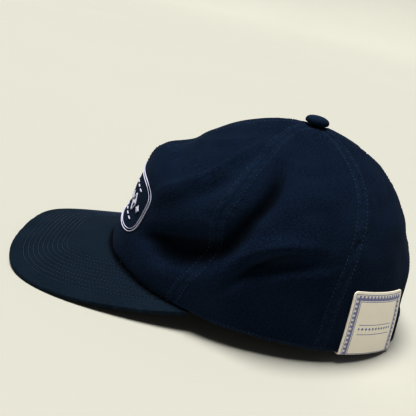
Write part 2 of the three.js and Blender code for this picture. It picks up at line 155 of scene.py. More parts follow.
@dataclass
class Surface:
    """Points, faces and per-point values that become one mesh."""

    points: Array
    faces: list[Array]
    uv: Array | None = None
    values: dict[str, Array] | None = None

    @staticmethod
    def together(parts: list["Surface"]) -> "Surface":
        """Several surfaces in one, their points and faces one after the other.

        Args:
            parts: surfaces with uv and without values.

        Returns:
            The one surface.
        """
        shifts = np.cumsum([0] + [len(part.points) for part in parts])
        faces = [grid + shift for part, shift in zip(parts, shifts) for grid in part.faces]
        points = np.vstack([part.points for part in parts])
        return Surface(points, faces, np.vstack([part.uv for part in parts]))

    def volume(self) -> float:
        """Signed volume: a sixth of the sum of the triple products of the fanned faces.

        Returns:
            Cubic millimetres, below 0 where the faces look inward.
        """
        total = 0.0
        for faces in self.faces:
            for k in range(1, faces.shape[1] - 1):
                a, b, c = (self.points[faces[:, j]] for j in (0, k, k + 1))
                total += float(np.sum(a * np.cross(b, c))) / 6
        return total

    def build(self, name: str, crease: float = 50.0) -> Piece:
        """Makes the mesh object, turned so that its faces look outward.

        Args:
            name: the piece's name.
            crease: edges sharper than this many degrees are shaded sharp.

        Returns:
            The object, linked into the scene at the origin.
        """
        flip = self.volume() < 0
        faces = [f[:, ::-1] if flip else f for f in self.faces]
        corners = np.concatenate([f.ravel() for f in faces]).astype(np.int32)
        counts = np.concatenate([np.full(len(f), f.shape[1]) for f in faces])
        starts = np.concatenate([[0], np.cumsum(counts)[:-1]]).astype(np.int32)
        mesh = bpy.data.meshes.new(name)
        mesh.vertices.add(len(self.points))
        mesh.vertices.foreach_set("co", (self.points * MM).astype(np.float32).ravel())
        mesh.loops.add(len(corners))
        mesh.loops.foreach_set("vertex_index", corners)
        mesh.polygons.add(len(starts))
        mesh.polygons.foreach_set("loop_start", starts)
        if self.uv is not None:
            layer = mesh.uv_layers.new(name=CLOTH_UV)
            layer.data.foreach_set("uv", self.uv[corners].astype(np.float32).ravel())
        for key, values in (self.values or {}).items():
            attribute = mesh.attributes.new(key, "FLOAT", "POINT")
            attribute.data.foreach_set("value", values.astype(np.float32))
        mesh.update(calc_edges=True)
        mesh.validate()
        mesh.shade_smooth()
        mesh.set_sharp_from_angle(angle=math.radians(crease))
        piece = bpy.data.objects.new(name, mesh)
        bpy.context.scene.collection.objects.link(piece)
        return piece


def faces_of(*corners: Array) -> Array:
    """Faces from equal grids of point numbers, one grid for each corner."""
    return np.stack([grid.ravel() for grid in corners], axis=1)


def sheet_surface(outer: Array, inner: Array, uv: Array, values: dict[str, Array]) -> Surface:
    """A sheet with thickness: two grids of points face to face, and the walls round them.

    Args:
        outer: the face side's points, rows by columns by 3.
        inner: the lining side's points, the same way.
        uv: place on the cloth in millimetres, rows by columns by 2.
        values: named grids of rows by columns, put on both sides.

    Returns:
        The closed surface.
    """
    shape = outer.shape[:2]
    index = np.arange(outer[..., 0].size).reshape(shape)
    back = index + index.size
    faces = [
        faces_of(index[:-1, :-1], index[:-1, 1:], index[1:, 1:], index[1:, :-1]),
        faces_of(back[:-1, :-1], back[1:, :-1], back[1:, 1:], back[:-1, 1:]),
        faces_of(index[0, :-1], back[0, :-1], back[0, 1:], index[0, 1:]),
        faces_of(index[-1, :-1], index[-1, 1:], back[-1, 1:], back[-1, :-1]),
        faces_of(index[:-1, 0], index[1:, 0], back[1:, 0], back[:-1, 0]),
        faces_of(index[:-1, -1], back[:-1, -1], back[1:, -1], index[1:, -1]),
    ]
    points = np.vstack([outer, inner]).reshape(-1, 3)
    flat = np.vstack([uv, uv]).reshape(-1, 2)
    twice = {key: np.tile(np.broadcast_to(grid, shape).ravel(), 2) for key, grid in values.items()}
    return Surface(points, faces, flat, twice)


def tube_surface(rings: Array, uv: Array) -> Surface:
    """Many short closed tubes at once, each a row of rings with a flat face on each end.

    Args:
        rings: points, tubes by rings by sides by 3.
        uv: place on the thread in millimetres, tubes by rings by sides by 2.

    Returns:
        The closed surface of all tubes together.
    """
    index = np.arange(rings[..., 0].size).reshape(rings.shape[:3])
    after = np.roll(index, -1, axis=2)
    wall = faces_of(index[:, :-1], index[:, 1:], after[:, 1:], after[:, :-1])
    faces = [wall, index[:, 0], index[:, -1, ::-1]]
    return Surface(rings.reshape(-1, 3), faces, uv.reshape(-1, 2))


# ---- Finishes ----


def linear(code: str) -> tuple[float, float, float, float]:
    """An sRGB hex colour as linear light.

    Args:
        code: a hash and six hex digits.

    Returns:
        Red, green, blue and alpha.
    """
    parts = [int(code[i : i + 2], 16) / 255 for i in (1, 3, 5)]
    made = [p / 12.92 if p <= 0.04045 else ((p + 0.055) / 1.055) ** 2.4 for p in parts]
    return (*made, 1.0)


def add_node(
    tree: Tree, kind: str, inputs: Inputs, out: str = "", **settings: Any
) -> Socket | None:
    """Adds one node with its settings and links.

    Args:
        tree: the node tree it goes in.
        kind: the node's type without its common prefix.
        inputs: values or other nodes' outputs, by input name or number.
        out: the output wanted, where it is neither the factor nor the first in use.
        settings: the node's own properties.

    Returns:
        The output that other nodes read, if it has one.
    """
    node = tree.nodes.new(f"ShaderNode{kind}")
    for name, value in settings.items():
        setattr(node, name, value)
    for name, value in inputs.items():
        if isinstance(value, Socket):
            tree.links.new(value, node.inputs[name])
        else:
            node.inputs[name].default_value = value
    ready = [socket for socket in node.outputs if socket.enabled]
    named = {socket.name: socket for socket in ready}
    return named.get(out or "Fac", ready[0] if ready else None)


@dataclass(frozen=True)
class Finish:
    """What all finishes share: a real material's name, and nodes that end in one shader."""

    name: str

    def shading(self, tree: Tree) -> Inputs:
        """Adds the finish's own nodes and gives the shader's inputs; each finish has its own."""
        raise NotImplementedError

    def material(self) -> Material:
        """Builds the finish: its nodes, the shader that they feed and the output.

        Returns:
            The material.
        """
        material = bpy.data.materials.new(self.name)
        material.use_nodes = True
        tree = material.node_tree
        tree.nodes.clear()
        shader = add_node(tree, "BsdfPrincipled", self.shading(tree))
        add_node(tree, "OutputMaterial", {"Surface": shader})
        return material


class Relief(Enum):
    """What is pressed into a cloth besides its weave."""

    PLAIN = "plain"
    STITCHED_ROWS = "stitched rows"


@dataclass(frozen=True)
class StitchedRows:
    """The visor's rows of stitching, at even distances inward from its edge."""

    first: float = 8.8
    spacing: float = 3.2
    count: int = 10


@dataclass(frozen=True)
class CottonTwill(Finish):
    """Woven cotton twill, piece dyed and brushed.

    Steep diagonal ribs and uneven yarns, dull and slightly hairy, so that it stays dark
    face on and gets a soft pale bloom where it turns away. The dye sits deeper between the
    ribs and rubs paler on seams and ridges. Hollows and grooves get painted shade: a darker
    colour mixed in where shade falls.
    """

    valley: str = "#060d18"
    rib: str = "#1a2d48"
    worn: str = "#24384f"
    # painted shade: the dark colour that the sunk value mixes in where shade falls in hollows and
    # grooves
    painted_shade: str = "#03070d"
    rib_pitch: float = 0.8  # real ribs are 0.5 mm apart; drawn coarser so that they show
    rib_height: float = 0.16
    rib_share: float = 0.3
    yarn_share: float = 1.8
    yarn_scale: float = 0.75  # thick and thin places of 1 to 2 mm along the ribs
    grain_shift: float = -0.62
    drift: float = 0.6
    drift_middle: float = 0.36
    drift_scale: float = 0.035  # fading in patches of about 30 mm
    roughness: float = 0.92
    sheen: float = 0.04
    relief: Relief = Relief.PLAIN
    rows: StitchedRows = StitchedRows()
    row_sharpness: float = 28.0
    row_depth: float = 3.0
    # painted shade along each stitched row's dip
    row_shade: float = 0.65

    def shading(self, tree: Tree) -> Inputs:
        """Grain, colour and height on the cloth's own millimetre coordinates.

        The grain is a diagonal wave for the ribs plus noise stretched along them for the
        yarns. The colour goes from valley to rib with it, then to worn with the worn value
        and a broad noise, then to the painted shade colour with the sunk value, which paints
        shade into hollows and grooves. In stitched rows the height also dips along each row,
        and the colour goes back to valley there as painted shade.

        Args:
            tree: the node tree to build in.

        Returns:
            The shader's inputs.
        """
        cloth = add_node(tree, "UVMap", {}, uv_map=CLOTH_UV)
        wave = {
            "Vector": cloth,
            "Scale": WAVE * math.sqrt(2) / self.rib_pitch,  # across the diagonal
            "Distortion": 0.6,
            "Detail": 1.0,
            "Detail Scale": 2.0,
        }
        ribs = add_node(tree, "TexWave", wave, wave_type="BANDS", bands_direction="DIAGONAL")
        turned = {"Rotation": (0.0, 0.0, math.radians(-45)), "Scale": (0.8, 1.7, 1.0)}
        yarns = add_node(tree, "Mapping", {"Vector": cloth, **turned})
        slubs = {"Vector": yarns, "Scale": self.yarn_scale, "Detail": 3.0}
        patches = {"Vector": cloth, "Scale": self.drift_scale, "Detail": 3.0}
        slub, drift = (add_node(tree, "TexNoise", noise) for noise in (slubs, patches))
        worn = add_node(tree, "Attribute", {}, attribute_name="worn")
        # sunk carries painted shade in hollows, creases and the groove by the visor
        sunk = add_node(tree, "Attribute", {}, attribute_name="sunk")
        grain: Any = self.grain_shift
        for part, share in ((ribs, self.rib_share), (slub, self.yarn_share)):
            grain = add_node(
                tree, "Math", {0: part, 1: share, 2: grain}, operation="MULTIPLY_ADD"
            )
        faded = {0: drift, 1: self.drift, 2: -self.drift_middle * self.drift}
        drifted = add_node(tree, "Math", faded, operation="MULTIPLY_ADD")
        paled = add_node(tree, "Math", {0: worn, 1: drifted}, operation="ADD", use_clamp=True)
        height = grain
        tints = [(grain, self.rib), (paled, self.worn), (sunk, self.painted_shade)]
        if self.relief is Relief.STITCHED_ROWS:
            dip = self.row_dip(tree)
            # painted shade: the valley colour along each row's dip
            shade = add_node(tree, "Math", {0: dip, 1: self.row_shade}, operation="MULTIPLY")
            tints.append((shade, self.valley))
            sewn = {0: dip, 1: -self.row_depth, 2: grain}
            height = add_node(tree, "Math", sewn, operation="MULTIPLY_ADD")
        colour = linear(self.valley)
        for share, tint in tints:
            blend = {"Factor": share, "A": colour, "B": linear(tint)}
            colour = add_node(tree, "Mix", blend, data_type="RGBA")
        bump = {"Height": height, "Strength": 0.8, "Distance": self.rib_height * MM}
        return {
            "Base Color": colour,
            "Roughness": self.roughness,
            "Specular IOR Level": 0.05,
            "Sheen Weight": self.sheen,
            "Sheen Roughness": 0.45,
            "Sheen Tint": linear("#8ea4bf"),
            "Normal": add_node(tree, "Bump", bump),
        }

    def row_dip(self, tree: Tree) -> Socket:
        """How deep a point lies in a stitched row: a bell of its distance to the nearest row.

        Args:
            tree: the node tree to build in.

        Returns:
            The socket that carries 0 between rows and 1 along them.
        """
        edge = add_node(tree, "Attribute", {}, attribute_name="from_edge")
        past = add_node(tree, "Math", {0: edge, 1: self.rows.first}, operation="SUBTRACT")
        steps = add_node(tree, "Math", {0: past, 1: self.rows.spacing}, operation="DIVIDE")
        whole = add_node(tree, "Math", {0: steps}, operation="ROUND")
        nearest = add_node(tree, "Clamp", {"Value": whole, "Max": float(self.rows.count - 1)})
        away = add_node(tree, "Math", {0: steps, 1: nearest}, operation="SUBTRACT")
        squared = add_node(tree, "Math", {0: away, 1: away}, operation="MULTIPLY")
        fall = add_node(tree, "Math", {0: squared, 1: -self.row_sharpness}, operation="MULTIPLY")
        return add_node(tree, "Math", {0: fall}, operation="EXPONENT")


@dataclass(frozen=True)
class SewingThread(Finish):
    """Spun polyester or rayon thread: a smooth twisted yarn with a soft gloss along it."""

    colour: str
    groove: str
    roughness: float = 0.55
    ply_pitch: float = 0.5
    rubbing: float = 0.0  # rubbed and fresh patches of thread to the millimetre

    def shading(self, tree: Tree) -> Inputs:
        """Slanting ply lines as a wave in colour and height, dulled where noise is low.

        Args:
            tree: the node tree to build in.

        Returns:
            The shader's inputs.
        """
        along = add_node(tree, "UVMap", {}, uv_map=CLOTH_UV)
        pitch = WAVE / self.ply_pitch
        wave = {"Vector": along, "Scale": pitch, "Distortion": 0.8, "Detail": 1.0}
        ply = lit = add_node(tree, "TexWave", wave, wave_type="BANDS", bands_direction="X")
        if self.rubbing:
            noise = {"Vector": along, "Scale": self.rubbing, "Detail": 1.0}
            patches = add_node(tree, "TexNoise", noise)
            span = {"Value": patches, "From Min": 0.4, "From Max": 0.62}
            fresh = add_node(tree, "MapRange", span)
            lit = add_node(tree, "Math", {0: ply, 1: fresh}, operation="MULTIPLY")
        blend = {"Factor": lit, "A": linear(self.groove), "B": linear(self.colour)}
        bump = {"Height": ply, "Strength": 0.5, "Distance": 0.08 * MM}
        return {
            "Base Color": add_node(tree, "Mix", blend, data_type="RGBA"),
            "Roughness": self.roughness,
            "Specular IOR Level": 0.3,
            "Sheen Weight": 0.1,
            "Normal": add_node(tree, "Bump", bump),
        }


@dataclass(frozen=True)
class DamaskLabelCloth(Finish):
    """Satin-faced woven label cloth: cream ground with a blue figure in the same weave.

    The ground is smooth with very fine cross ribs. The figure is a plain border of small
    lozenges between two fine lines, with a lozenge strip across, and nothing is written.
    """

    width: float
    height: float
    ground: str = "#fffaf1"
    shade: str = "#fbf2e6"
    figure: str = "#6069a6"
    margin: float = 1.6
    band: float = 5.0
    line: float = 0.45
    lozenge: float = 3.2
    strip_height: float = 0.52  # of the label's height
    strip_half: float = 1.8
    strip_lines: tuple[float, float] = (3.2, 3.65)
    strip_margin: float = 3.0
    weave_pitch: float = 0.5
    border_fill: float = 0.34  # of a pitch, from a lozenge's middle to its tips
    strip_fill: float = 0.36
    border_depth: float = 0.8
    figure_depth: float = 0.85
    weave_shade: float = 0.25
    cloud_shade: float = 0.7

    def shading(self, tree: Tree) -> Inputs:
        """Ground, figure and height from the label's own millimetre coordinates.

        The distance inward is the least of the four side distances. The border is where it
        lies in the band. The lozenges are where the sum of the two distances to the nearest
        lattice point is under a share of the pitch. Each row of the table is one reckoning:
        what it gives, the operation, and the names or numbers that it takes.

        Args:
            tree: the node tree to build in.

        Returns:
            The shader's inputs.
        """
        cloth = add_node(tree, "UVMap", {}, uv_map=CLOTH_UV)
        wave = {"Vector": cloth, "Scale": WAVE / self.weave_pitch, "Distortion": 0.4}
        noise = {"Vector": cloth, "Scale": 0.12, "Detail": 3.0}
        across = add_node(tree, "SeparateXYZ", {"Vector": cloth}, "X")
        known: dict[Any, Socket] = {
            "across": across,
            "down": across.node.outputs["Y"],
            "weave": add_node(tree, "TexWave", wave, wave_type="BANDS", bands_direction="Y"),
            "cloudy": add_node(tree, "TexNoise", noise),
        }
        edge, half = self.margin + self.band, self.lozenge / 2
        low, high = self.strip_lines
        bounds = {
            "band": ("inward", self.margin + 2 * self.line, edge - 2 * self.line),
            "outer line": ("inward", self.margin, self.margin + self.line),
            "inner line": ("inward", edge - self.line, edge),
            "strip lines": ("middle", low, high),
        }
        steps = [
            ("far", "ABSOLUTE", "across"),
            ("side", "SUBTRACT", self.width / 2, "far"),
            ("up", "SUBTRACT", self.height, "down"),
            ("end", "MINIMUM", "down", "up"),
            ("inward", "MINIMUM", "side", "end"),
            ("near x", "PINGPONG", "across", half),
            ("near y", "PINGPONG", "down", half),
            ("near", "ADD", "near x", "near y"),
            ("cells", "LESS_THAN", "near", self.lozenge * self.border_fill),
            ("middle", "SUBTRACT", "down", self.height * self.strip_height),
            ("middle", "ABSOLUTE", "middle"),
        ]
        for name, (value, start, stop) in bounds.items():
            steps.append(("above", "GREATER_THAN", value, start))
            steps.append(("below", "LESS_THAN", value, stop))
            steps.append((name, "MULTIPLY", "above", "below"))
        steps += [
            ("ground", "MULTIPLY_ADD", "cells", -self.border_depth, 1.0),
            ("border", "MULTIPLY", "band", "ground"),
            ("wide", "GREATER_THAN", "inward", edge + self.strip_margin),
            ("strip lines", "MULTIPLY", "strip lines", "wide"),
            ("strip", "LESS_THAN", "middle", self.strip_half),
            ("strip", "MULTIPLY", "strip", "wide"),
            ("cells", "LESS_THAN", "near", self.lozenge * self.strip_fill),
            ("strip", "MULTIPLY", "strip", "cells"),
            ("figure", "MAXIMUM", "border", "outer line"),
            ("figure", "MAXIMUM", "figure", "inner line"),
            ("figure", "MAXIMUM", "figure", "strip lines"),
            ("figure", "MAXIMUM", "figure", "strip"),
            ("figure", "MULTIPLY", "figure", self.figure_depth),
            ("clouds", "MULTIPLY", "cloudy", self.cloud_shade),
            ("tone", "MULTIPLY_ADD", "weave", self.weave_shade, "clouds"),
            ("height", "ADD", "weave", "figure"),
        ]
        for name, operation, *terms in steps:
            given = {place: known.get(term, term) for place, term in enumerate(terms)}
            known[name] = add_node(tree, "Math", given, operation=operation)
        colour = linear(self.ground)
        for share, tint in (("tone", self.shade), ("figure", self.figure)):
            blend = {"Factor": known[share], "A": colour, "B": linear(tint)}
            colour = add_node(tree, "Mix", blend, data_type="RGBA")
        bump = {"Height": known["height"], "Strength": 0.4, "Distance": 0.08 * MM}
        return {
            "Base Color": colour,
            "Roughness": 0.62,
            "Specular IOR Level": 0.35,
            "Sheen Weight": 0.08,
            "Normal": add_node(tree, "Bump", bump),
        }


@dataclass(frozen=True)
class NickelPlatedSteel(Finish):
    """Stamped steel with dull nickel plate: grey, satin, with fine scratches lengthways."""

    name: str = "nickel-plated stamped steel"
    colour: str = "#a3a4a6"

    def shading(self, tree: Tree) -> Inputs:
        """One colour of metal, with stretched noise in its roughness and height.

        Args:
            tree: the node tree to build in.

        Returns:
            The shader's inputs.
        """
        along = add_node(tree, "UVMap", {}, uv_map=CLOTH_UV)
        stretched = add_node(tree, "Mapping", {"Vector": along, "Scale": (0.15, 3.0, 1.0)})
        scratch = add_node(tree, "TexNoise", {"Vector": stretched, "Scale": 1.5, "Detail": 3.0})
        dull = {"Value": scratch, "To Min": 0.28, "To Max": 0.5}
        bump = {"Height": scratch, "Strength": 0.15, "Distance": 0.05 * MM}
        return {
            "Base Color": linear(self.colour),
            "Metallic": 1.0,
            "Roughness": add_node(tree, "MapRange", dull),
            "Normal": add_node(tree, "Bump", bump),
        }


@dataclass(frozen=True)
class PaintedBoard(Finish):
    """Matt painted board for the floor: pale, with hardly any grain."""

    name: str = "matt pale paint on board"
    colour: str = "#b5b5b0"
    patch: str = "#b2b2ad"

    def shading(self, tree: Tree) -> Inputs:
        """One pale colour with a faint drift over most of a metre.

        Args:
            tree: the node tree to build in.

        Returns:
            The shader's inputs.
        """
        place = add_node(tree, "TexCoord", {}, "Object")
        drift = add_node(tree, "TexNoise", {"Vector": place, "Scale": 1.2, "Detail": 2.0})
        blend = {"Factor": drift, "A": linear(self.colour), "B": linear(self.patch)}
        colour = add_node(tree, "Mix", blend, data_type="RGBA")
        return {"Base Color": colour, "Roughness": 0.9, "Specular IOR Level": 0.1}


def dress(piece: Piece, material: Material, slot: str, *nodes: str) -> None:
    """Gives a piece its finish, puts it on the body and hides the solids it stands for.

    Args:
        piece: the finished piece.
        material: its finish.
        slot: the record's material slot it belongs to; not used.
        nodes: the CAD nodes that it replaces.
    """
    piece.data.materials.append(material)
    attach(piece, "root")
    if nodes:
        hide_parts(*nodes)
    piece.data.calc_loop_triangles()
    LOG.info("%s: %d triangles", piece.name, len(piece.data.loop_triangles))


# ---- The crown shell ----


class Seam(Enum):
    """The seams that run from the rim up to the button."""

    FRONT = "front"
    FORWARD = "forward side"
    REAR = "rear side"
    BACK = "back"


@dataclass(frozen=True)
class Fold:
    """A ridge or dent of the cloth along a line of places (azimuth, level) on the shell."""

    lift: float
    width: float
    places: tuple[tuple[float, float], ...]


@dataclass(frozen=True)
class Visor:
    """The visor's form: a flat board, arched across and falling to the front."""

    corner_x: float = 80.0
    corner_y: float = -37.5
    corner_z: float = 15.1
    reach: float = 135.0
    half_width: float = 82.5
    squareness: float = 3.4
    taper: float = 0.024
    taper_length: float = 40.0
    slope: float = 0.151
    arch_radius: float = 205.0
    thickness: float = 2.8
    setback: float = 2.0

    def top(self, x: Array, y: Array) -> Array:
        """Height of its top in plan: a straight fall to the front, less a parabola across."""
        arch = (x * x - self.corner_x**2) / (2 * self.arch_radius)
        return self.corner_z + (y - self.corner_y) * self.slope - arch

    def edge(self, turn: Array) -> Array:
        """Its outer edge in plan: a superellipse that narrows a little at the corners.

        Args:
            turn: from -1 at one corner to 1 at the other.

        Returns:
            The x and y of each place, in a last axis of 2.
        """
        angle = turn * np.pi / 2
        power = 2 / self.squareness
        forward = self.reach * np.abs(np.cos(angle)) ** power
        narrowing = 1 - self.taper * np.maximum(0, 1 - forward / self.taper_length) ** 2
        x = self.half_width * np.sign(turn) * np.abs(np.sin(angle)) ** power * narrowing
        return np.stack([x, self.corner_y - forward], axis=-1)


@dataclass(frozen=True)
class CrownShell:
    """The smooth crown that every cloth piece is cut from, and the folds that dent it."""

    visor: Visor = Visor()
    cloth: float = 2.0
    gap: float = 0.3
    top_level: float = 0.97
    bent_levels: float = 0.3
    # level; front y, z; side half width, y, z; back y, z
    sections: SmoothTable = SmoothTable((
        (0.0, -108.0, 15.0, 86.0, -2.0, 11.0, 110.5, 0.0),
        (0.1, -103.0, 34.0, 87.5, -2.0, 28.5, 109.0, 16.5),
        (0.2, -97.5, 51.5, 88.5, -1.5, 45.0, 106.5, 33.0),
        (0.3, -94.0, 70.0, 88.0, -0.5, 61.5, 103.0, 50.5),
        (0.4, -88.5, 87.5, 85.0, 1.5, 77.5, 97.0, 66.0),
        (0.5, -70.0, 97.5, 78.5, 3.5, 92.0, 91.0, 83.0),
        (0.6, -55.5, 108.5, 67.5, 5.5, 104.5, 80.5, 98.5),
        (0.7, -39.0, 118.5, 53.0, 8.0, 114.5, 67.0, 112.5),
        (0.8, -21.5, 126.0, 36.0, 10.0, 122.5, 51.0, 121.5),
        (0.9, -4.0, 130.5, 18.0, 12.5, 128.5, 33.0, 128.5),
        (1.0, 15.0, 131.0, 0.0, 15.0, 131.0, 15.0, 131.0),
    ))
    # y; height of the free rim
    rim: SmoothTable = SmoothTable((
        (-37.5, 15.3), (-32.0, 14.9), (-22.0, 13.2), (0.0, 12.2), (40.0, 9.4),
        (80.0, 5.6), (96.0, 2.4), (102.0, 0.4), (106.0, 0.0), (111.0, 0.0),
    ))
    # level; azimuth of the forward and of the rear side seam
    seams: SmoothTable = SmoothTable((
        (0.0, 62.5, 115.0), (0.1, 64.0, 115.5), (0.2, 67.0, 116.0), (0.3, 69.0, 117.5),
        (0.4, 67.5, 120.0), (0.5, 66.0, 122.0), (0.6, 65.0, 125.0), (0.7, 62.5, 127.0),
        (0.8, 57.5, 129.0), (0.9, 52.0, 131.0), (1.0, 50.0, 132.0),
    ))
    # the main folds, which the solids have too
    folds: tuple[Fold, ...] = (
        Fold(1.6, 12, ((-34, 0.40), (0, 0.425), (34, 0.40))),
        Fold(-1.6, 15, ((-24, 0.52), (0, 0.520), (24, 0.52))),
        Fold(5.2, 10, ((38, 0.335), (50, 0.485), (54.5, 0.77))),
        Fold(-10.0, 18, ((42, 0.165), (58, 0.22), (80, 0.325))),
        Fold(4.4, 12, ((65, 0.39), (63.5, 0.50), (64, 0.64))),
        Fold(-7.0, 10, ((79, 0.72), (80.5, 0.54), (74, 0.32))),
        Fold(-4.0, 11, ((79, 0.44), (78, 0.37), (73, 0.28))),
        Fold(4.0, 11, ((75, 0.235), (88, 0.355), (107, 0.395))),
        Fold(-4.4, 9, ((84, 0.23), (95, 0.30), (111, 0.34))),
        Fold(-1.8, 24, ((106, 0.82), (105.5, 0.70), (107, 0.58))),
        Fold(2.4, 20, ((96, 0.66), (98, 0.58), (101, 0.52))),
        Fold(-1.8, 10, ((157, 0.67), (142, 0.585), (126, 0.47))),
        Fold(2.2, 13, ((-37, 0.34), (-48, 0.50), (-50, 0.72))),
        Fold(-5.0, 22, ((-38, 0.20), (-58, 0.28), (-76, 0.32))),
        Fold(-2.6, 11, ((-81, 0.62), (-77, 0.50), (-73, 0.38))),
        Fold(2.8, 13, ((-69, 0.22), (-86, 0.32), (-101, 0.37))),
        Fold(-2.4, 12, ((-84, 0.22), (-96, 0.28), (-108, 0.32))),
        Fold(-1.4, 11, ((-155, 0.63), (-141, 0.55), (-128, 0.46))),
        Fold(2.2, 15, ((160, 0.30), (180, 0.39), (200, 0.30))),
    )
    # finer and slighter folds, in the cloth only
    creases: tuple[Fold, ...] = (
        Fold(2.3, 4.5, ((36, 0.36), (48, 0.49), (53, 0.72))),
        Fold(-1.5, 6, ((80, 0.62), (79.5, 0.50), (76, 0.38))),
        Fold(1.4, 6, ((78, 0.275), (89, 0.365), (104, 0.395))),
        Fold(-2.6, 5.5, ((76, 0.100), (84, 0.235), (95, 0.345), (107, 0.372))),
        Fold(2.4, 7, ((88, 0.230), (100, 0.285), (113, 0.320))),
        Fold(-2.2, 9, ((34, 0.150), (42, 0.200), (54, 0.240))),
        Fold(-1.5, 7, ((56, 0.225), (68, 0.265), (77, 0.31))),
        Fold(-1.0, 4, ((126, 0.61), (122.5, 0.55), (121, 0.50))),
        Fold(-1.1, 4, ((124, 0.47), (121, 0.43), (119, 0.39))),
        Fold(0.9, 4, ((111, 0.39), (111.5, 0.35), (113, 0.31))),
        Fold(0.9, 5, ((157, 0.70), (149, 0.64), (138, 0.57))),
        Fold(-0.9, 6, ((140, 0.73), (137, 0.64), (136, 0.56))),
        Fold(-0.8, 6, ((60, 0.80), (50, 0.83), (34, 0.80))),
        Fold(1.2, 7, ((14, 0.60), (30, 0.66), (42, 0.76))),
        Fold(-1.2, 6, ((62, 0.56), (58, 0.50), (56, 0.44))),
    )
    fold_points: int = 25
    fold_sharpness: float = 3.0
    fold_reach: float = 2.2  # widths, past which a fold is nothing
    fold_ends: float = 0.25  # of the lift, left at both ends of a fold
    fold_start: tuple[float, float] = (0.04, 0.2)  # levels between which folds set in
    upright: float = 0.1  # level up to which the normals turn toward level

    def section_point(self, azimuth: Array, level: Array) -> Array:
        """One section of the shell: an oval that rises or falls to its front and back.

        Args:
            azimuth: degrees round the crown.
            level: share of the way up.

        Returns:
            Points, with x = side sin a, y = middle - reach cos a, z = side + rise cos^2 a.
        """
        azimuth, level = np.broadcast_arrays(np.asarray(azimuth, float), level)
        row = np.moveaxis(self.sections.at(level), -1, 0)
        front_y, front_z, side_x, side_y, side_z, back_y, back_z = row
        angle = np.radians(azimuth)
        c = np.cos(angle)
        reach = np.where(c > 0, side_y - front_y, back_y - side_y)
        rise = np.where(c > 0, front_z, back_z) - side_z
        return np.stack([side_x * np.sin(angle), side_y - reach * c, side_z + rise * c * c], -1)

    def rim_height(self, x: Array, y: Array) -> Array:
        """Height of the crown's lower edge: just over the visor in front, the rim behind.

        Args:
            x: place to the wearer's left.
            y: place toward the back.

        Returns:
            Millimetres over the floor.
        """
        inside = 1 - self.cloth / np.hypot(x, y)
        on_visor = self.visor.top(x * inside, y * inside) + self.gap
        return np.where(y >= self.visor.corner_y, np.maximum(0, self.rim.at(y)[..., 0]), on_visor)

    def smooth_point(self, azimuth: Array, level: Array) -> Array:
        """The shell without folds: sections, with the lowest third bent to the rim's line.

        The bend is the rim's height less the lowest section's, times (1 - level / 0.3)^2.

        Args:
            azimuth: degrees round the crown.
            level: share of the way up.

        Returns:
            Points, in millimetres.
        """
        point = self.section_point(azimuth, level)
        rim = self.section_point(azimuth, np.zeros(np.shape(level)))
        fade = np.maximum(0, 1 - np.asarray(level, float) / self.bent_levels) ** 2
        point[..., 2] += (self.rim_height(rim[..., 0], rim[..., 1]) - rim[..., 2]) * fade
        return point

    def smooth_normal(self, azimuth: Array, level: Array) -> Array:
        """Outward unit normal of the smooth shell, turned level at the rim.

        It is the cross product of a step round the shell and a step up it.

        Args:
            azimuth: degrees round the crown.
            level: share of the way up.

        Returns:
            Unit vectors.
        """
        level = np.asarray(level, float)
        low, high = np.maximum(level - NUDGE, 0), np.minimum(level + NUDGE, 1 - NUDGE)
        up = self.smooth_point(azimuth, high) - self.smooth_point(azimuth, low)
        turn = self.smooth_point(azimuth + 1.0, level) - self.smooth_point(azimuth - 1.0, level)
        normal = unit(np.cross(turn, up))
        normal[..., 2] *= smoothstep(level, 0, self.upright)
        return unit(normal)

    @cached_property
    def fold_lines(self) -> tuple[Array, ...]:
        """Points along each fold: a smooth curve through its places on the smooth shell.

        Returns:
            One row of points a fold, in the order of folds and then creases.
        """
        lines = []
        for fold in self.folds + self.creases:
            keys = np.linspace(0, 1, len(fold.places))
            table = SmoothTable(tuple((k, *p) for k, p in zip(keys, fold.places)))
            lines.append(self.smooth_point(*table.at(np.linspace(0, 1, self.fold_points)).T))
        return tuple(lines)

    def fold_lift(self, points: Array, first: int = 0) -> Array:
        """How far the folds push the cloth outward at points of the smooth shell.

        Each fold adds its lift times exp(-3 (distance / width)^2) times a sine hump along
        its length, the distance being that to the nearest of its points.

        Args:
            points: places on the smooth shell.
            first: how many of the folds, counted from the first, to leave out.

        Returns:
            Millimetres outward.
        """
        flat = points.reshape(-1, 3)
        lift = np.zeros(len(flat))
        pairs = list(zip(self.folds + self.creases, self.fold_lines))
        for fold, line in pairs[first:]:
            middle = line[len(line) // 2]
            span = np.linalg.norm(line - middle, axis=1).max() + self.fold_reach * fold.width
            near = np.flatnonzero(np.linalg.norm(flat - middle, axis=1) < span)
            if not len(near):
                continue
            away = np.linalg.norm(flat[near, None, :] - line[None], axis=2)
            along = away.argmin(axis=1) / (len(line) - 1)
            across = np.exp(-self.fold_sharpness * (away.min(axis=1) / fold.width) ** 2)
            hump = self.fold_ends + (1 - self.fold_ends) * np.sin(np.pi * along)
            lift[near] += fold.lift * across * hump
        return lift.reshape(points.shape[:-1])

    def point(self, azimuth: Array, level: Array, outward: Array) -> Array:
        """A point of the folded cloth, stood off it outward; folds fade out at the rim.

        Args:
            azimuth: degrees round the crown.
            level: share of the way up.
            outward: millimetres along the normal.

        Returns:
            Points, in millimetres.
        """
        azimuth, level = np.broadcast_arrays(np.asarray(azimuth, float), np.asarray(level, float))
        point = self.smooth_point(azimuth, level)
        lift = self.fold_lift(point) * smoothstep(level, *self.fold_start) + outward
        return point + self.smooth_normal(azimuth, level) * lift[..., None]

    def line(self, azimuth: Array, level: Array, outward: Array) -> Line:
        """A line on the folded cloth, stood off it outward, with its normals."""
        return self.point(azimuth, level, outward), self.smooth_normal(azimuth, level)

    def per_degree(self, azimuth: Array, level: Array) -> Array:
        """Millimetres along the shell for one degree of azimuth."""
        step = self.smooth_point(azimuth + 0.5, level) - self.smooth_point(azimuth - 0.5, level)
        return np.linalg.norm(step, axis=-1)

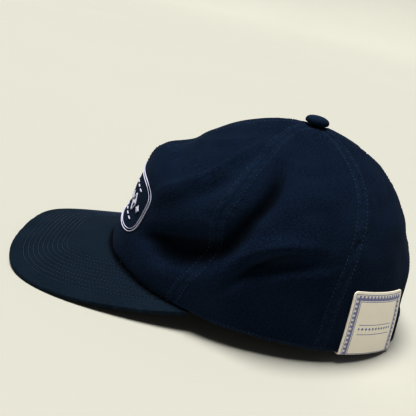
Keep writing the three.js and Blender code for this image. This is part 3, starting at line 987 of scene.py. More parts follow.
    def per_level(self, azimuth: Array, level: Array) -> Array:
        """Millimetres along the shell for one whole level.

        Args:
            azimuth: degrees round the crown.
            level: share of the way up.

        Returns:
            Millimetres.
        """
        low, high = np.maximum(level - NUDGE, 0), np.minimum(level + NUDGE, 1)
        step = self.smooth_point(azimuth, high) - self.smooth_point(azimuth, low)
        return np.linalg.norm(step, axis=-1) / (high - low)

    def seam_azimuth(self, seam: Seam, level: Array) -> Array:
        """Where a seam on the left runs.

        Args:
            seam: which seam.
            level: share of the way up.

        Returns:
            Its azimuth at each level.
        """
        if seam in (Seam.FRONT, Seam.BACK):
            return np.full(level.shape, 0.0 if seam is Seam.FRONT else 180.0)
        return self.seams.at(level)[..., 0 if seam is Seam.FORWARD else 1]


# ---- Thread ----


@dataclass(frozen=True)
class StitchRows:
    """Lockstitch rows: short beads of thread that dip into the cloth at both ends."""

    pitch: float = 2.6
    length: float = 1.5
    radius: float = 0.20
    sides: int = 6
    # each bead's four rings: share of its length, and girth and height in radii
    ring_share: tuple[float, ...] = (-0.5, -0.28, 0.28, 0.5)
    ring_girth: tuple[float, ...] = (0.45, 1.0, 1.0, 0.45)
    ring_height: tuple[float, ...] = (-0.9, 0.45, 0.45, -0.9)

    def surface(self, lines: list[Line]) -> Surface:
        """Beads at even steps along each line.

        Each bead has four rings. Its middle rings stand proud, its end rings are thinner
        and sunk below the cloth, and each ring is a circle across the line.

        Args:
            lines: lines on the cloth.

        Returns:
            One surface of all beads.
        """
        girth = np.array(self.ring_girth) * self.radius
        height = np.array(self.ring_height) * self.radius
        turn = np.linspace(0, 2 * np.pi, self.sides, endpoint=False)
        rows = []
        for points, normals in lines:
            run = run_along(points)
            starts = np.arange(self.pitch * 0.5, run[-1] - self.pitch * 0.5, self.pitch)
            where = starts[:, None] + np.array(self.ring_share) * self.length
            place, out = follow(points, run, where), unit(follow(normals, run, where))
            ahead = unit(place[:, -1:] - place[:, :1])
            aside = unit(np.cross(out, ahead))
            up = np.cross(ahead, aside)
            centre = place + out * height[None, :, None]
            circle = (
                aside[:, :, None] * np.cos(turn)[None, None, :, None]
                + up[:, :, None] * np.sin(turn)[None, None, :, None]
            )
            rings = centre[:, :, None] + circle * girth[None, :, None, None]
            uv = np.stack(np.broadcast_arrays(where[:, :, None], turn * self.radius), -1)
            rows.append(tube_surface(rings, uv))
        return Surface.together(rows)


# ---- Crown panels ----


@dataclass(frozen=True)
class SeamForm:
    """How cloth lies beside a sewn and pressed-open seam, by distance from the seam."""

    row: float = 3.7
    groove: float = 0.05
    groove_width: float = 0.35
    welt: float = 0.02
    welt_rise: tuple[float, float] = (0.3, 1.4)
    welt_fall: tuple[float, float] = (2.8, 6.0)
    dip: float = 0.07
    dip_width: float = 0.5
    pucker: float = 0.55
    pucker_period: float = 5.0
    pucker_rise: tuple[float, float] = (0.5, 2.0)
    pucker_reach: float = 6.0
    pucker_length: float = 0.35  # share of the distance that shapes a pucker
    crest: float = 2.2
    crest_width: float = 1.8
    rubbed: float = 0.17
    rubbed_period: float = 6.0

    def relief(self, away: Array, along: Array, seed: int) -> Array:
        """Height of the cloth beside a seam.

        It falls into the seam as exp(-away / width), swells between the seam and its row
        of topstitching, dips under the row, and puckers unevenly just past it.

        Args:
            away: distance from the seam.
            along: distance up the seam.
            seed: which pattern of puckers.

        Returns:
            Millimetres outward.
        """
        fall = -self.groove * np.exp(-away / self.groove_width)
        swell = smoothstep(away, *self.welt_rise) * (1 - smoothstep(away, *self.welt_fall))
        row = -self.dip * bell(away, self.row, self.dip_width)
        ripple = unevenness(along, away * self.pucker_length, self.pucker_period, seed)
        fade = smoothstep(away, *self.pucker_rise) * np.exp(-away / self.pucker_reach)
        return fall + self.welt * swell + row + self.pucker * ripple * fade

    def wear(self, away: Array, along: Array, seed: int) -> Array:
        """How much paler the cloth is: most on the crest of the welt, and in patches."""
        patches = 1 + unevenness(along, away, self.rubbed_period, seed)
        return self.rubbed * bell(away, self.crest, self.crest_width) * patches


@dataclass(frozen=True)
class Cut:
    """The flat cloth that a piece is cut from: metres, square metres and what it rests on."""

    width: float
    length: float
    area: float
    rests_on: str

    def declare(self, piece: Piece, held: str) -> None:
        """Does nothing: the piece is not declared as a sheet here."""


@dataclass(frozen=True)
class Panel:
    """A panel of each hand: where it lies, its puckers' seed, its two seams and its cut."""

    place: str
    seed: int
    first: Seam
    second: Seam
    cut: Cut


@dataclass
class CrownPanels:
    """The six panels of the crown with their seams, hems and topstitching."""

    shell: CrownShell
    finish: Material
    thread: Material
    seam: SeamForm = SeamForm()
    stitches: StitchRows = StitchRows()
    panels: tuple[Panel, ...] = (
        Panel("front", 11, Seam.FRONT, Seam.FORWARD, Cut(0.109, 0.185, 0.0138, "Visor_Cover")),
        Panel("side", 21, Seam.FORWARD, Seam.REAR, Cut(0.099, 0.180, 0.0122, "Sweatband")),
        # this area is less the rear opening
        Panel("back", 31, Seam.REAR, Seam.BACK, Cut(0.109, 0.175, 0.0106, "Sweatband")),
    )
    thickness: float = 1.7
    least_thickness: float = 0.35
    # rows by share of the way up at the hem, and how many above it
    hem_levels: tuple[float, ...] = (0, 0.0012, 0.003, 0.006, 0.010, 0.015, 0.022)
    rows: int = 112
    # columns by distance from a seam, their most of a panel's width, and how many between
    seam_columns: tuple[float, ...] = (
        0, 0.2, 0.45, 0.8, 1.3, 2, 2.8, 3.3, 3.7, 4.1, 4.7, 5.8, 7.2,
    )
    seam_share: float = 0.42
    middle_columns: int = 44
    back_width: float = 118.0
    rim_columns: int = 30
    arch_columns: int = 46
    half_gap: float = 0.03  # between neighbouring panels, in the seam
    opening_share: float = 27.0 / 65.0  # of the back panel's rim taken by the opening
    opening_top: float = 0.34
    opening_scale: tuple[float, float] = (1.8, 165.0)  # millimetres a degree and a level there
    hem_roll: float = 1.3
    hem_reach: float = 0.8
    hem_rows: tuple[float, ...] = (2.8, 6.2)
    visor_seam: tuple[float, float] = (60.0, 66.0)  # azimuths where it turns into the hem
    visor_roll: float = 2.1
    visor_roll_reach: float = 2.0
    slack: float = 0.45
    slack_period: float = 34.0
    slack_margin: float = 12.0
    edge_wear: float = 0.5
    edge_crest: tuple[float, float] = (0.6, 1.2)
    row_levels: tuple[float, float] = (0.012, 0.955)
    above_opening: float = 0.05
    arch_ends: float = 0.05  # radians without stitches at both ends of the arch
    opening_middle: float = 0.15  # level at which the arch's width is taken
    rim_row: float = 2.6
    rim_level: float = 0.02
    # how far thread lies over the cloth along seams (of the welt and dip), rim and opening
    bed: tuple[float, float, float, float] = (0.4, -0.6, -0.05, -0.1)
    line_points: tuple[int, int, int] = (260, 300, 320)
    rim_rows: tuple[tuple[float, float], ...] = ((71, 121.5), (-71, -121.5), (-121.5, -152))
    # painted shade in hollows: how much, and the depths of fold and crease where it starts and is
    # full
    hollow_painted_shade: tuple[float, float, float] = (0.8, 2.2, 7.8)
    crease_painted_shade: tuple[float, float, float] = (0.5, 0.9, 2.6)
    # painted shade in the groove over the visor
    visor_painted_shade: tuple[float, float] = (0.9, 1.3)  # how much, and how far up from the visor
    # the most painted shade at any point
    most_painted_shade: float = 0.9

    def hem(self, up: Array) -> Array:
        """Height of the cloth at a turned edge: it rolls in over the last millimetre."""
        return -self.hem_roll * np.exp(-up / self.hem_reach)

    def across(self, start: Array, stop: Array, level: Array) -> Array:
        """Width of a panel between two azimuths at each place, by its scale midway."""
        return (stop - start) * self.shell.per_degree((start + stop) / 2, level)

    def grid(self, panel: Panel) -> tuple[Array, Array, Array, Array]:
        """Where a panel's points lie: rows close together at the hem, columns at the seams.

        A back panel's columns follow the rim and then a quarter ellipse round the rear
        opening, up to the back seam.

        Args:
            panel: which panel.

        Returns:
            Azimuths of its first and second seam, levels, and shares of the way between.
        """
        lowest, near = 0.0, np.array(self.seam_columns)
        if panel.second is Seam.BACK:
            rim = near / self.back_width
            rest = np.linspace(rim[-1], 1 - self.opening_share, self.rim_columns)[1:]
            arch = np.linspace(0, np.pi / 2, self.arch_columns)[1:]
            share = np.concatenate([rim, rest, 1 - self.opening_share * np.cos(arch)])
            lowest = self.opening_top * np.concatenate([0 * rim, 0 * rest, np.sin(arch)])
        *hem, above = self.hem_levels
        rows = np.concatenate([hem, np.linspace(above, 1, self.rows)])[:, None]
        level = lowest + (self.shell.top_level - lowest) * rows
        start, stop = (self.shell.seam_azimuth(s, level) for s in (panel.first, panel.second))
        if panel.second is not Seam.BACK:
            width = self.across(start, stop, level)
            left = near * (np.minimum(1, self.seam_share * width / near[-1]) / width)
            middle = np.linspace(0, 1, self.middle_columns + 2)[1:-1]
            middle = left[:, -1:] + (1 - 2 * left[:, -1:]) * middle
            share = np.hstack([left, middle, 1 - left[:, ::-1]])
        return start, stop, *np.broadcast_arrays(level, share)

    def from_opening(self, azimuth: Array, level: Array, half: Array) -> Array:
        """Distance from the rear opening's edge, which is half an ellipse of azimuth and level.

        It is (r - 1) r over the length of the gradient of r^2 / 2, where r is 1 on the edge.

        Args:
            azimuth: grid of degrees.
            level: grid of levels.
            half: the opening's half width at each place, in degrees.

        Returns:
            Millimetres outward from the edge.
        """
        gone, climb = (180 - azimuth) / half, level / self.opening_top
        slope = np.hypot(
            gone / (half * self.shell.per_degree(azimuth, level)),
            climb / (self.opening_top * self.shell.per_level(azimuth, level)),
        )
        reach = np.hypot(gone, climb)
        return (reach - 1) * reach / np.maximum(slope, 1e-6)

    def make(self, panel: Panel, hand: int) -> None:
        """Stands the cloth off the shell by its seam, hem and pucker relief, and dresses it.

        Its dye is rubbed paler on seams and edges. Painted shade darkens it in the folds'
        hollows and in the groove over the visor. On the right its seed is 100 more.

        Args:
            panel: which panel.
            hand: 1 on the left, -1 on the right.
        """
        shell, seam = self.shell, self.seam
        seed = panel.seed + (100 if hand < 0 else 0)
        start, stop, level, share = self.grid(panel)
        width = self.across(start, stop, level)
        edge = self.half_gap / width
        azimuth = start + (stop - start) * (edge + (1 - 2 * edge) * share)
        from_start = share * width
        to_stop = width - from_start
        up = level * shell.per_level(azimuth, level)
        relief = seam.relief(from_start, up, seed) + seam.relief(to_stop, up, seed + 1)
        over_visor = 1 - smoothstep(azimuth, *self.visor_seam)
        on_visor = -self.visor_roll * np.exp(-up / self.visor_roll_reach)
        relief = relief + mix(self.hem(up), on_visor, over_visor)
        calm = smoothstep(np.minimum(from_start, to_stop), 0.0, self.slack_margin)
        slack = unevenness(from_start, up, self.slack_period, seed + 2)
        relief = relief + self.slack * slack * calm
        worn = seam.wear(from_start, up, seed + 3) + seam.wear(to_stop, up, seed + 4)
        worn = worn + self.edge_wear * bell(up, *self.edge_crest)
        if panel.second is Seam.BACK:
            away = self.from_opening(azimuth, level, self.opening_share * (180 - start))
            relief = relief + self.hem(np.maximum(away, 0))
            for row in self.hem_rows:
                relief = relief - seam.dip * bell(away, row, seam.dip_width)
            worn = worn + self.edge_wear * bell(away, *self.edge_crest)
        azimuth = hand * azimuth
        place = shell.smooth_point(azimuth, level)
        # sunk is painted shade: over the visor and in the hollows of folds and creases
        sunk = self.visor_painted_shade[0] * over_visor * np.exp(-up / self.visor_painted_shade[1])
        for first, tint in ((0, self.hollow_painted_shade), (len(shell.folds), self.crease_painted_shade)):
            sunk = sunk + tint[0] * smoothstep(-shell.fold_lift(place, first), *tint[1:])
        lining = np.minimum(-self.thickness, relief - self.least_thickness)
        outer, inner = shell.point(azimuth, level, relief), shell.point(azimuth, level, lining)
        uv = np.stack([hand * (from_start - width / 2), up], -1)
        values = {"worn": worn, "sunk": np.minimum(self.most_painted_shade, sunk)}
        name = f"{panel.place}_panel_{'left' if hand > 0 else 'right'}"
        piece = sheet_surface(outer, inner, uv, values).build(name.title())
        dress(piece, self.finish, "crown_twill", name)
        panel.cut.declare(piece, "stretched")

    def topstitching(self) -> list[Line]:
        """Rows of stitching beside each seam, along the free rim and round the opening.

        Those round the opening are half ellipses of azimuth and level.

        Returns:
            Lines on the cloth.
        """
        shell, lines = self.shell, []
        of_welt, of_dip, on_rim, on_arch = self.bed
        along_seam, along_rim, along_arch = self.line_points
        bed = of_welt * self.seam.welt + of_dip * self.seam.dip
        sewn = ((Seam.FORWARD, 1), (Seam.FORWARD, -1), (Seam.REAR, 1), (Seam.REAR, -1))
        for hand in (1, -1):
            for seam, way in (*sewn, (Seam.FRONT, 1), (Seam.BACK, -1)):
                low, high = self.row_levels
                low = self.opening_top + self.above_opening if seam is Seam.BACK else low
                level = np.linspace(low, high, along_seam)
                azimuth = shell.seam_azimuth(seam, level)
                beside = way * self.seam.row / shell.per_degree(azimuth, level)
                lines.append(shell.line(hand * (azimuth + beside), level, bed))
        for low, high in self.rim_rows:
            azimuth = np.linspace(low, high, along_rim)
            level = self.rim_row / shell.per_level(azimuth, np.full(azimuth.shape, self.rim_level))
            lines.append(shell.line(azimuth, level, on_rim))
        arch = np.linspace(self.arch_ends, np.pi - self.arch_ends, along_arch)
        start = shell.seam_azimuth(Seam.REAR, np.full(arch.shape, self.opening_middle))
        per_degree, per_level = self.opening_scale
        for distance in self.hem_rows:
            half = self.opening_share * (180 - start) + distance / per_degree
            level = (self.opening_top + distance / per_level) * np.sin(arch)
            lines.append(shell.line(180 + half * np.cos(arch), level, on_arch))
        return lines

    def build(self) -> None:
        """Builds all six panels and their topstitching."""
        for hand in (1, -1):
            for panel in self.panels:
                self.make(panel, hand)
        piece = self.stitches.surface(self.topstitching()).build("Panel_Topstitching")
        dress(piece, self.thread, "thread")


# ---- Visor and button ----


@dataclass
class VisorBoard:
    """The cloth-covered visor with its rows of stitching, all at even distances inward."""

    shell: CrownShell
    finish: Material
    thread: Material
    stitches: StitchRows = StitchRows(pitch=2.4, length=1.95, radius=0.19)
    rows: StitchedRows = StitchedRows()
    roll: float = 1.0
    edge_points: int = 1201
    at_once: int = 2000  # points measured against the edge at a time
    columns: int = 260
    crowding: float = 0.35  # how much the columns crowd toward the corners
    short_of_corner: float = 0.999
    edge_rows: tuple[float, ...] = (0, 0.03, 0.12, 0.28, 0.5, 0.75, 1.0, 2.0)
    short_span: float = 4.0  # under which the rows at the edge close up
    inner_rows: int = 64
    quilt_depth: float = 0.16
    quilt_width: float = 0.3  # of the space between rows
    quilt_below: float = 0.5  # share of a dip that shows on the underside
    swell: float = 0.10
    swell_period: float = 45.0
    swell_margins: tuple[float, float] = (6.0, 8.0)  # at the edge and at the crown
    rubbed: float = 0.05
    rubbed_period: float = 30.0
    # painted shade where the visor runs in under the crown
    groove_painted_shade: float = 0.9
    groove_width: float = 1.2
    thread_bed: float = 0.12
    clear_of_crown: float = 0.8
    clear_of_edge: float = 0.3  # how much nearer than its distance a row may come
    within: tuple[float, float] = (0.0, -60.0)  # a place inside the edge
    rim_reach: float = 75.0  # degrees of the rim that rows are cut off at

    @cached_property
    def edge_line(self) -> Array:
        """Dense points of the outer edge in plan."""
        return self.shell.visor.edge(np.linspace(-1, 1, self.edge_points))

    def from_edge(self, x: Array, y: Array) -> Array:
        """Distance in plan from the outer edge: the least over its dense points.

        Args:
            x: places to the wearer's left.
            y: places toward the back.

        Returns:
            Millimetres, in the shape of x.
        """
        flat = np.stack([x.ravel(), y.ravel()], -1)
        parts = np.array_split(flat, max(1, x.size // self.at_once))
        ways = (np.linalg.norm(part[:, None] - self.edge_line[::2], axis=2) for part in parts)
        return np.concatenate([way.min(axis=1) for way in ways]).reshape(x.shape)

    def cover(self) -> None:
        """Builds the covered board.

        Each column goes straight from the ledge under the crown out to the edge. Over the
        last millimetre the top falls and the underside rises along a quarter circle. The
        top dips along each row of stitching as a bell of the distance to it.
        """
        shell, form, rows = self.shell, self.shell.visor, self.rows
        front_y, side_y = shell.sections.rows[0][1], shell.sections.rows[0][4]
        corner = math.degrees(math.acos((side_y - form.corner_y) / (side_y - front_y)))
        quarter = np.linspace(-np.pi / 2, np.pi / 2, self.columns)
        turn = np.sin(quarter * self.short_of_corner)
        turn = mix(np.linspace(-1, 1, self.columns), turn, self.crowding)
        root = shell.point(turn * (corner - form.setback), np.zeros(turn.shape), -shell.cloth)
        edge = form.edge(turn)
        span = np.linalg.norm(edge - root[:, :2], axis=1)[:, None]
        near = np.array(self.edge_rows)
        inward = np.minimum(near, span * near / self.short_span)
        rest = np.linspace(0, 1, self.inner_rows)[1:]
        distance = np.hstack([inward, mix(inward[:, -1:], span, rest)])
        plan = mix(edge[:, None], root[:, None, :2], (distance / span)[..., None])
        x, y = plan[..., 0], plan[..., 1]
        away = self.from_edge(x, y)
        rolled = np.maximum(0, self.roll - away)
        drop = self.roll - np.sqrt(np.maximum(0, self.roll**2 - rolled**2))
        steps = (away - rows.first) / rows.spacing
        nearest = np.clip(np.round(steps), 0, rows.count - 1)
        quilt = -self.quilt_depth * bell(steps, nearest, self.quilt_width)
        edge_margin, crown_margin = self.swell_margins
        calm = smoothstep(distance, 0, edge_margin) * smoothstep(span - distance, 0, crown_margin)
        swell = self.swell * unevenness(x, y, self.swell_period, 71) * calm
        top = form.top(x, y) - drop + (quilt + swell)
        bottom = form.top(x, y) - form.thickness + drop + np.maximum(0, -quilt) * self.quilt_below
        from_crown = np.maximum(0, span - distance - shell.cloth)
        values = {
            "worn": self.rubbed * (1 + unevenness(x, y, self.rubbed_period, 72)),
            "from_edge": away,
            # sunk: painted shade along the crown's edge
            "sunk": self.groove_painted_shade * np.exp(-from_crown / self.groove_width),
        }
        outer, inner = np.stack([x, y, top], -1), np.stack([x, y, bottom], -1)
        piece = sheet_surface(outer, inner, plan, values).build("Visor_Cover", 60)
        dress(piece, self.finish, "visor_twill", "visor")

    def row_paths(self) -> list[Line]:
        """Lines at even distances inside the edge, cut off where they meet the crown.

        Each is the edge moved along its inward normal; points that lie nearer the edge
        than the distance, or behind the crown, are dropped.

        Returns:
            Pairs of points and normals.
        """
        form, line = self.shell.visor, self.edge_line
        ahead = np.gradient(line, axis=0)
        inward = unit(np.stack([ahead[:, 1], -ahead[:, 0]], -1))
        inward *= np.sign(np.sum(inward * (np.array(self.within) - line), axis=1))[:, None]
        azimuth = np.linspace(-self.rim_reach, self.rim_reach, 301)
        rim = self.shell.point(azimuth, 0 * azimuth, 0.0)
        bearing = np.degrees(np.arctan2(rim[:, 0], -rim[:, 1]))
        radius = np.hypot(rim[:, 0], rim[:, 1])
        paths = []
        for distance in self.rows.first + self.rows.spacing * np.arange(self.rows.count):
            x, y = (line + inward * distance).T
            clear = self.from_edge(x, y) > distance - self.clear_of_edge
            crown = np.interp(np.degrees(np.arctan2(x, -y)), bearing, radius)
            keep = clear & (np.hypot(x, y) > self.clear_of_crown + crown) & (y < form.corner_y)
            x, y = x[keep], y[keep]
            normals = np.stack([x / form.arch_radius, 0 * x - form.slope, 0 * x + 1], -1)
            points = np.stack([x, y, form.top(x, y) - self.thread_bed], -1)
            paths.append((points, unit(normals)))
        return paths

    def build(self) -> None:
        """Builds the covered board and its rows of stitching."""
        self.cover()
        piece = self.stitches.surface(self.row_paths()).build("Visor_Stitching")
        dress(piece, self.thread, "thread")


@dataclass
class TopButton:
    """The cloth-covered button: a low dome with its cover gathered under the edge."""

    shell: CrownShell
    finish: Material
    radius: float = 8.2
    height: float = 6.0
    widest: float = 0.36  # of the height
    squareness: tuple[float, float] = (0.72, 0.9)  # powers of the cosine and of the sine
    lean: float = 0.04
    gathers: int = 14
    gather_depth: float = 0.035
    gather_fade: tuple[float, float] = (-0.7, 0.35)  # radians up the profile
    rubbed: float = 0.35
    standoff: float = 0.2

    def build(self) -> None:
        """Builds the dome as a profile turned round its axis, pleated under its edge.

        The profile is a half superellipse of the radius and height, and the pleats are a
        cosine of the angle that fades over the edge. Then it leans back a little.
        """
        angle = np.linspace(0, 2 * np.pi, 96, endpoint=False)
        climb = np.linspace(-np.pi / 2, np.pi / 2, 42)[1:-1, None]
        middle = self.height * self.widest
        tall = np.where(climb > 0, self.height - middle, middle)
        wide = self.radius * np.abs(np.cos(climb)) ** self.squareness[0]
        rise = middle + tall * np.sign(climb) * np.abs(np.sin(climb)) ** self.squareness[1]
        under = 1 - smoothstep(climb, *self.gather_fade)
        pleat = 1 - self.gather_depth * under * (0.5 + 0.5 * np.cos(self.gathers * angle))
        x, y = wide * np.cos(angle) * pleat, wide * np.sin(angle) * pleat
        dome = np.stack([x, y, np.broadcast_to(rise, x.shape)], -1).reshape(-1, 3)
        index = np.arange(x.size).reshape(x.shape)
        after = np.roll(index, -1, axis=1)
        points = np.vstack([dome, [[0, 0, 0.0], [0, 0, self.height]]])
        low = np.full(angle.shape, x.size)
        faces = [
            faces_of(index[:-1], after[:-1], after[1:], index[1:]),
            faces_of(after[0], index[0], low),
            faces_of(index[-1], after[-1], low + 1),
        ]
        uv = points[:, :2].copy()
        c, s = math.cos(self.lean), math.sin(self.lean)
        across, y, z = points.T
        apex = self.shell.sections.rows[-1]
        leaned = np.stack([across, y * c + z * s, z * c - y * s], -1)
        leaned += np.array([0, apex[4], apex[5] + self.shell.gap + self.standoff])
        worn = self.rubbed * smoothstep(z / self.height, 0.5, 1.0)
        piece = Surface(leaned, faces, uv, {"worn": worn}).build("Top_Button", 80)
        dress(piece, self.finish, "crown_twill", "top_button")


# ---- Bands, clasp, badge and label ----


@dataclass(frozen=True)
class BandForm:
    """A band's section: its levels, how its rows are spread and how thick it is."""

    low: float
    high: float
    margin: float
    rows: int
    thickness: float
    edges: tuple[float, ...] = (0, 0.001, 0.003, 0.006)
    roll: float = 0.006
    edge_share: float = 0.35  # of the thickness, at the very edge
    groove: float = 0.0
    groove_margin: float = 2.4
    groove_width: float = 0.6
    wear: float = 0.4

    @cached_property
    def level(self) -> Array:
        """Levels of its rows, close together at both edges.

        Returns:
            One level a row.
        """
        edges = np.array(self.edges)
        rows = np.linspace(self.low + self.margin, self.high - self.margin, self.rows)
        return np.concatenate([self.low + edges, rows, self.high - edges[::-1]])

    def thick(self) -> Array:
        """Thickness of each row: full in the middle, with a quarter ellipse at each edge."""
        t = np.clip(np.minimum(self.level - self.low, self.high - self.level) / self.roll, 0, 1)
        return self.thickness * mix(self.edge_share, 1, np.sqrt(np.maximum(0, 1 - (1 - t) ** 2)))


@dataclass
class RimBands:
    """The sweatband inside the rim, the rear strap and the plain clasp on it."""

    shell: CrownShell
    band_finish: Material
    strap_finish: Material
    thread: Material
    metal: Material
    sweatband: BandForm = BandForm(0.0, 0.17, 0.012, 9, 1.2)
    strap: BandForm = BandForm(0.0, 0.125, 0.010, 15, 1.8, groove=0.2)
    clasp: BandForm = BandForm(0.012, 0.113, 0.010, 9, 1.6)
    clearance: float = 0.70
    band_half_angle: float = 147.0
    strap_half_angle: float = 31.5
    strap_bend: tuple[float, float] = (14.0, 24.0)
    clasp_azimuth: float = 188.0
    clasp_half_angle: float = 4.6
    clasp_corner: float = 0.6  # degrees of its sides that are rounded off
    thread_bed: float = 0.1
    # millimetres a degree and a level near the rim, for the weave, and a level for the rows
    weave_scale: tuple[float, float] = (1.75, 168.0)
    row_scale: float = 165.0

    def strap_depth(self, azimuth: Array) -> Array:
        """Depth of the strap's outer face: flush in the opening, behind the panels beside it."""
        inside = self.shell.cloth + self.clearance - self.shell.gap
        return self.shell.gap + inside * smoothstep(np.abs(azimuth - 180), *self.strap_bend)

    def band(self, name: str, form: BandForm, azimuth: Array, depth: Array) -> Piece:
        """A band along the rim with rolled edges, and a groove under each row of stitching.

        Args:
            name: the piece's name.
            form: its section.
            azimuth: degrees of its columns.
            depth: how far its outer face lies inside the shell, by column.

        Returns:
            The piece, not dressed yet.
        """
        shell, full = self.shell, form.thick().max()
        a, level = np.meshgrid(azimuth, form.level)
        thick = form.thick()[:, None]
        margin = np.minimum(level, form.high - level) * self.row_scale
        relief = -form.groove * bell(margin, form.groove_margin, form.groove_width)
        outer = shell.point(a, level, -depth + relief - (full - thick) / 2)
        inner = shell.point(a, level, -depth - (full + thick) / 2)
        along, up = self.weave_scale
        uv = np.stack([(a - azimuth.mean()) * along, level * up], -1)
        worn = form.wear * sum(bell(level, edge, form.roll) for edge in form.level[[0, -1]])
        return sheet_surface(outer, inner, uv, {"worn": worn}).build(name)

    def build(self) -> None:
        """Builds the sweatband, the strap with its stitching, and the clasp."""
        half = self.band_half_angle
        azimuth = np.linspace(-half, half, 241)
        depth = np.full(azimuth.shape, self.shell.cloth + self.clearance)
        piece = self.band("Sweatband", self.sweatband, azimuth, depth)
        dress(piece, self.band_finish, "band_twill", "sweatband")

        half = self.strap_half_angle
        azimuth = np.linspace(180 - half, 180 + half, 97)
        piece = self.band("Rear_Strap", self.strap, azimuth, self.strap_depth(azimuth))
        dress(piece, self.strap_finish, "band_twill", "rear_strap")

        fine = np.linspace(180 - half + 1, 180 + half - 1, 240)
        row = self.strap.groove_margin / self.row_scale
        inward = -self.strap_depth(fine) - self.thread_bed
        lines = [
            self.shell.line(fine, np.full(fine.shape, level), inward)
            for level in (row, self.strap.high - row)
        ]
        dress(StitchRows().surface(lines).build("Strap_Stitching"), self.thread, "thread")

        half = self.clasp_half_angle
        azimuth = self.clasp_azimuth + np.linspace(-half, half, 25)
        aside = np.clip((half - np.abs(azimuth - self.clasp_azimuth)) / self.clasp_corner, 0, 1)
        round_off = 0.5 * (1 - np.sqrt(1 - (1 - aside) ** 2))
        depth = self.strap_depth(azimuth) - self.shell.gap - self.clasp.thickness + round_off
        piece = self.band("Strap_Clasp", self.clasp, azimuth, depth)
        dress(piece, self.metal, "clasp_metal", "strap_clasp")


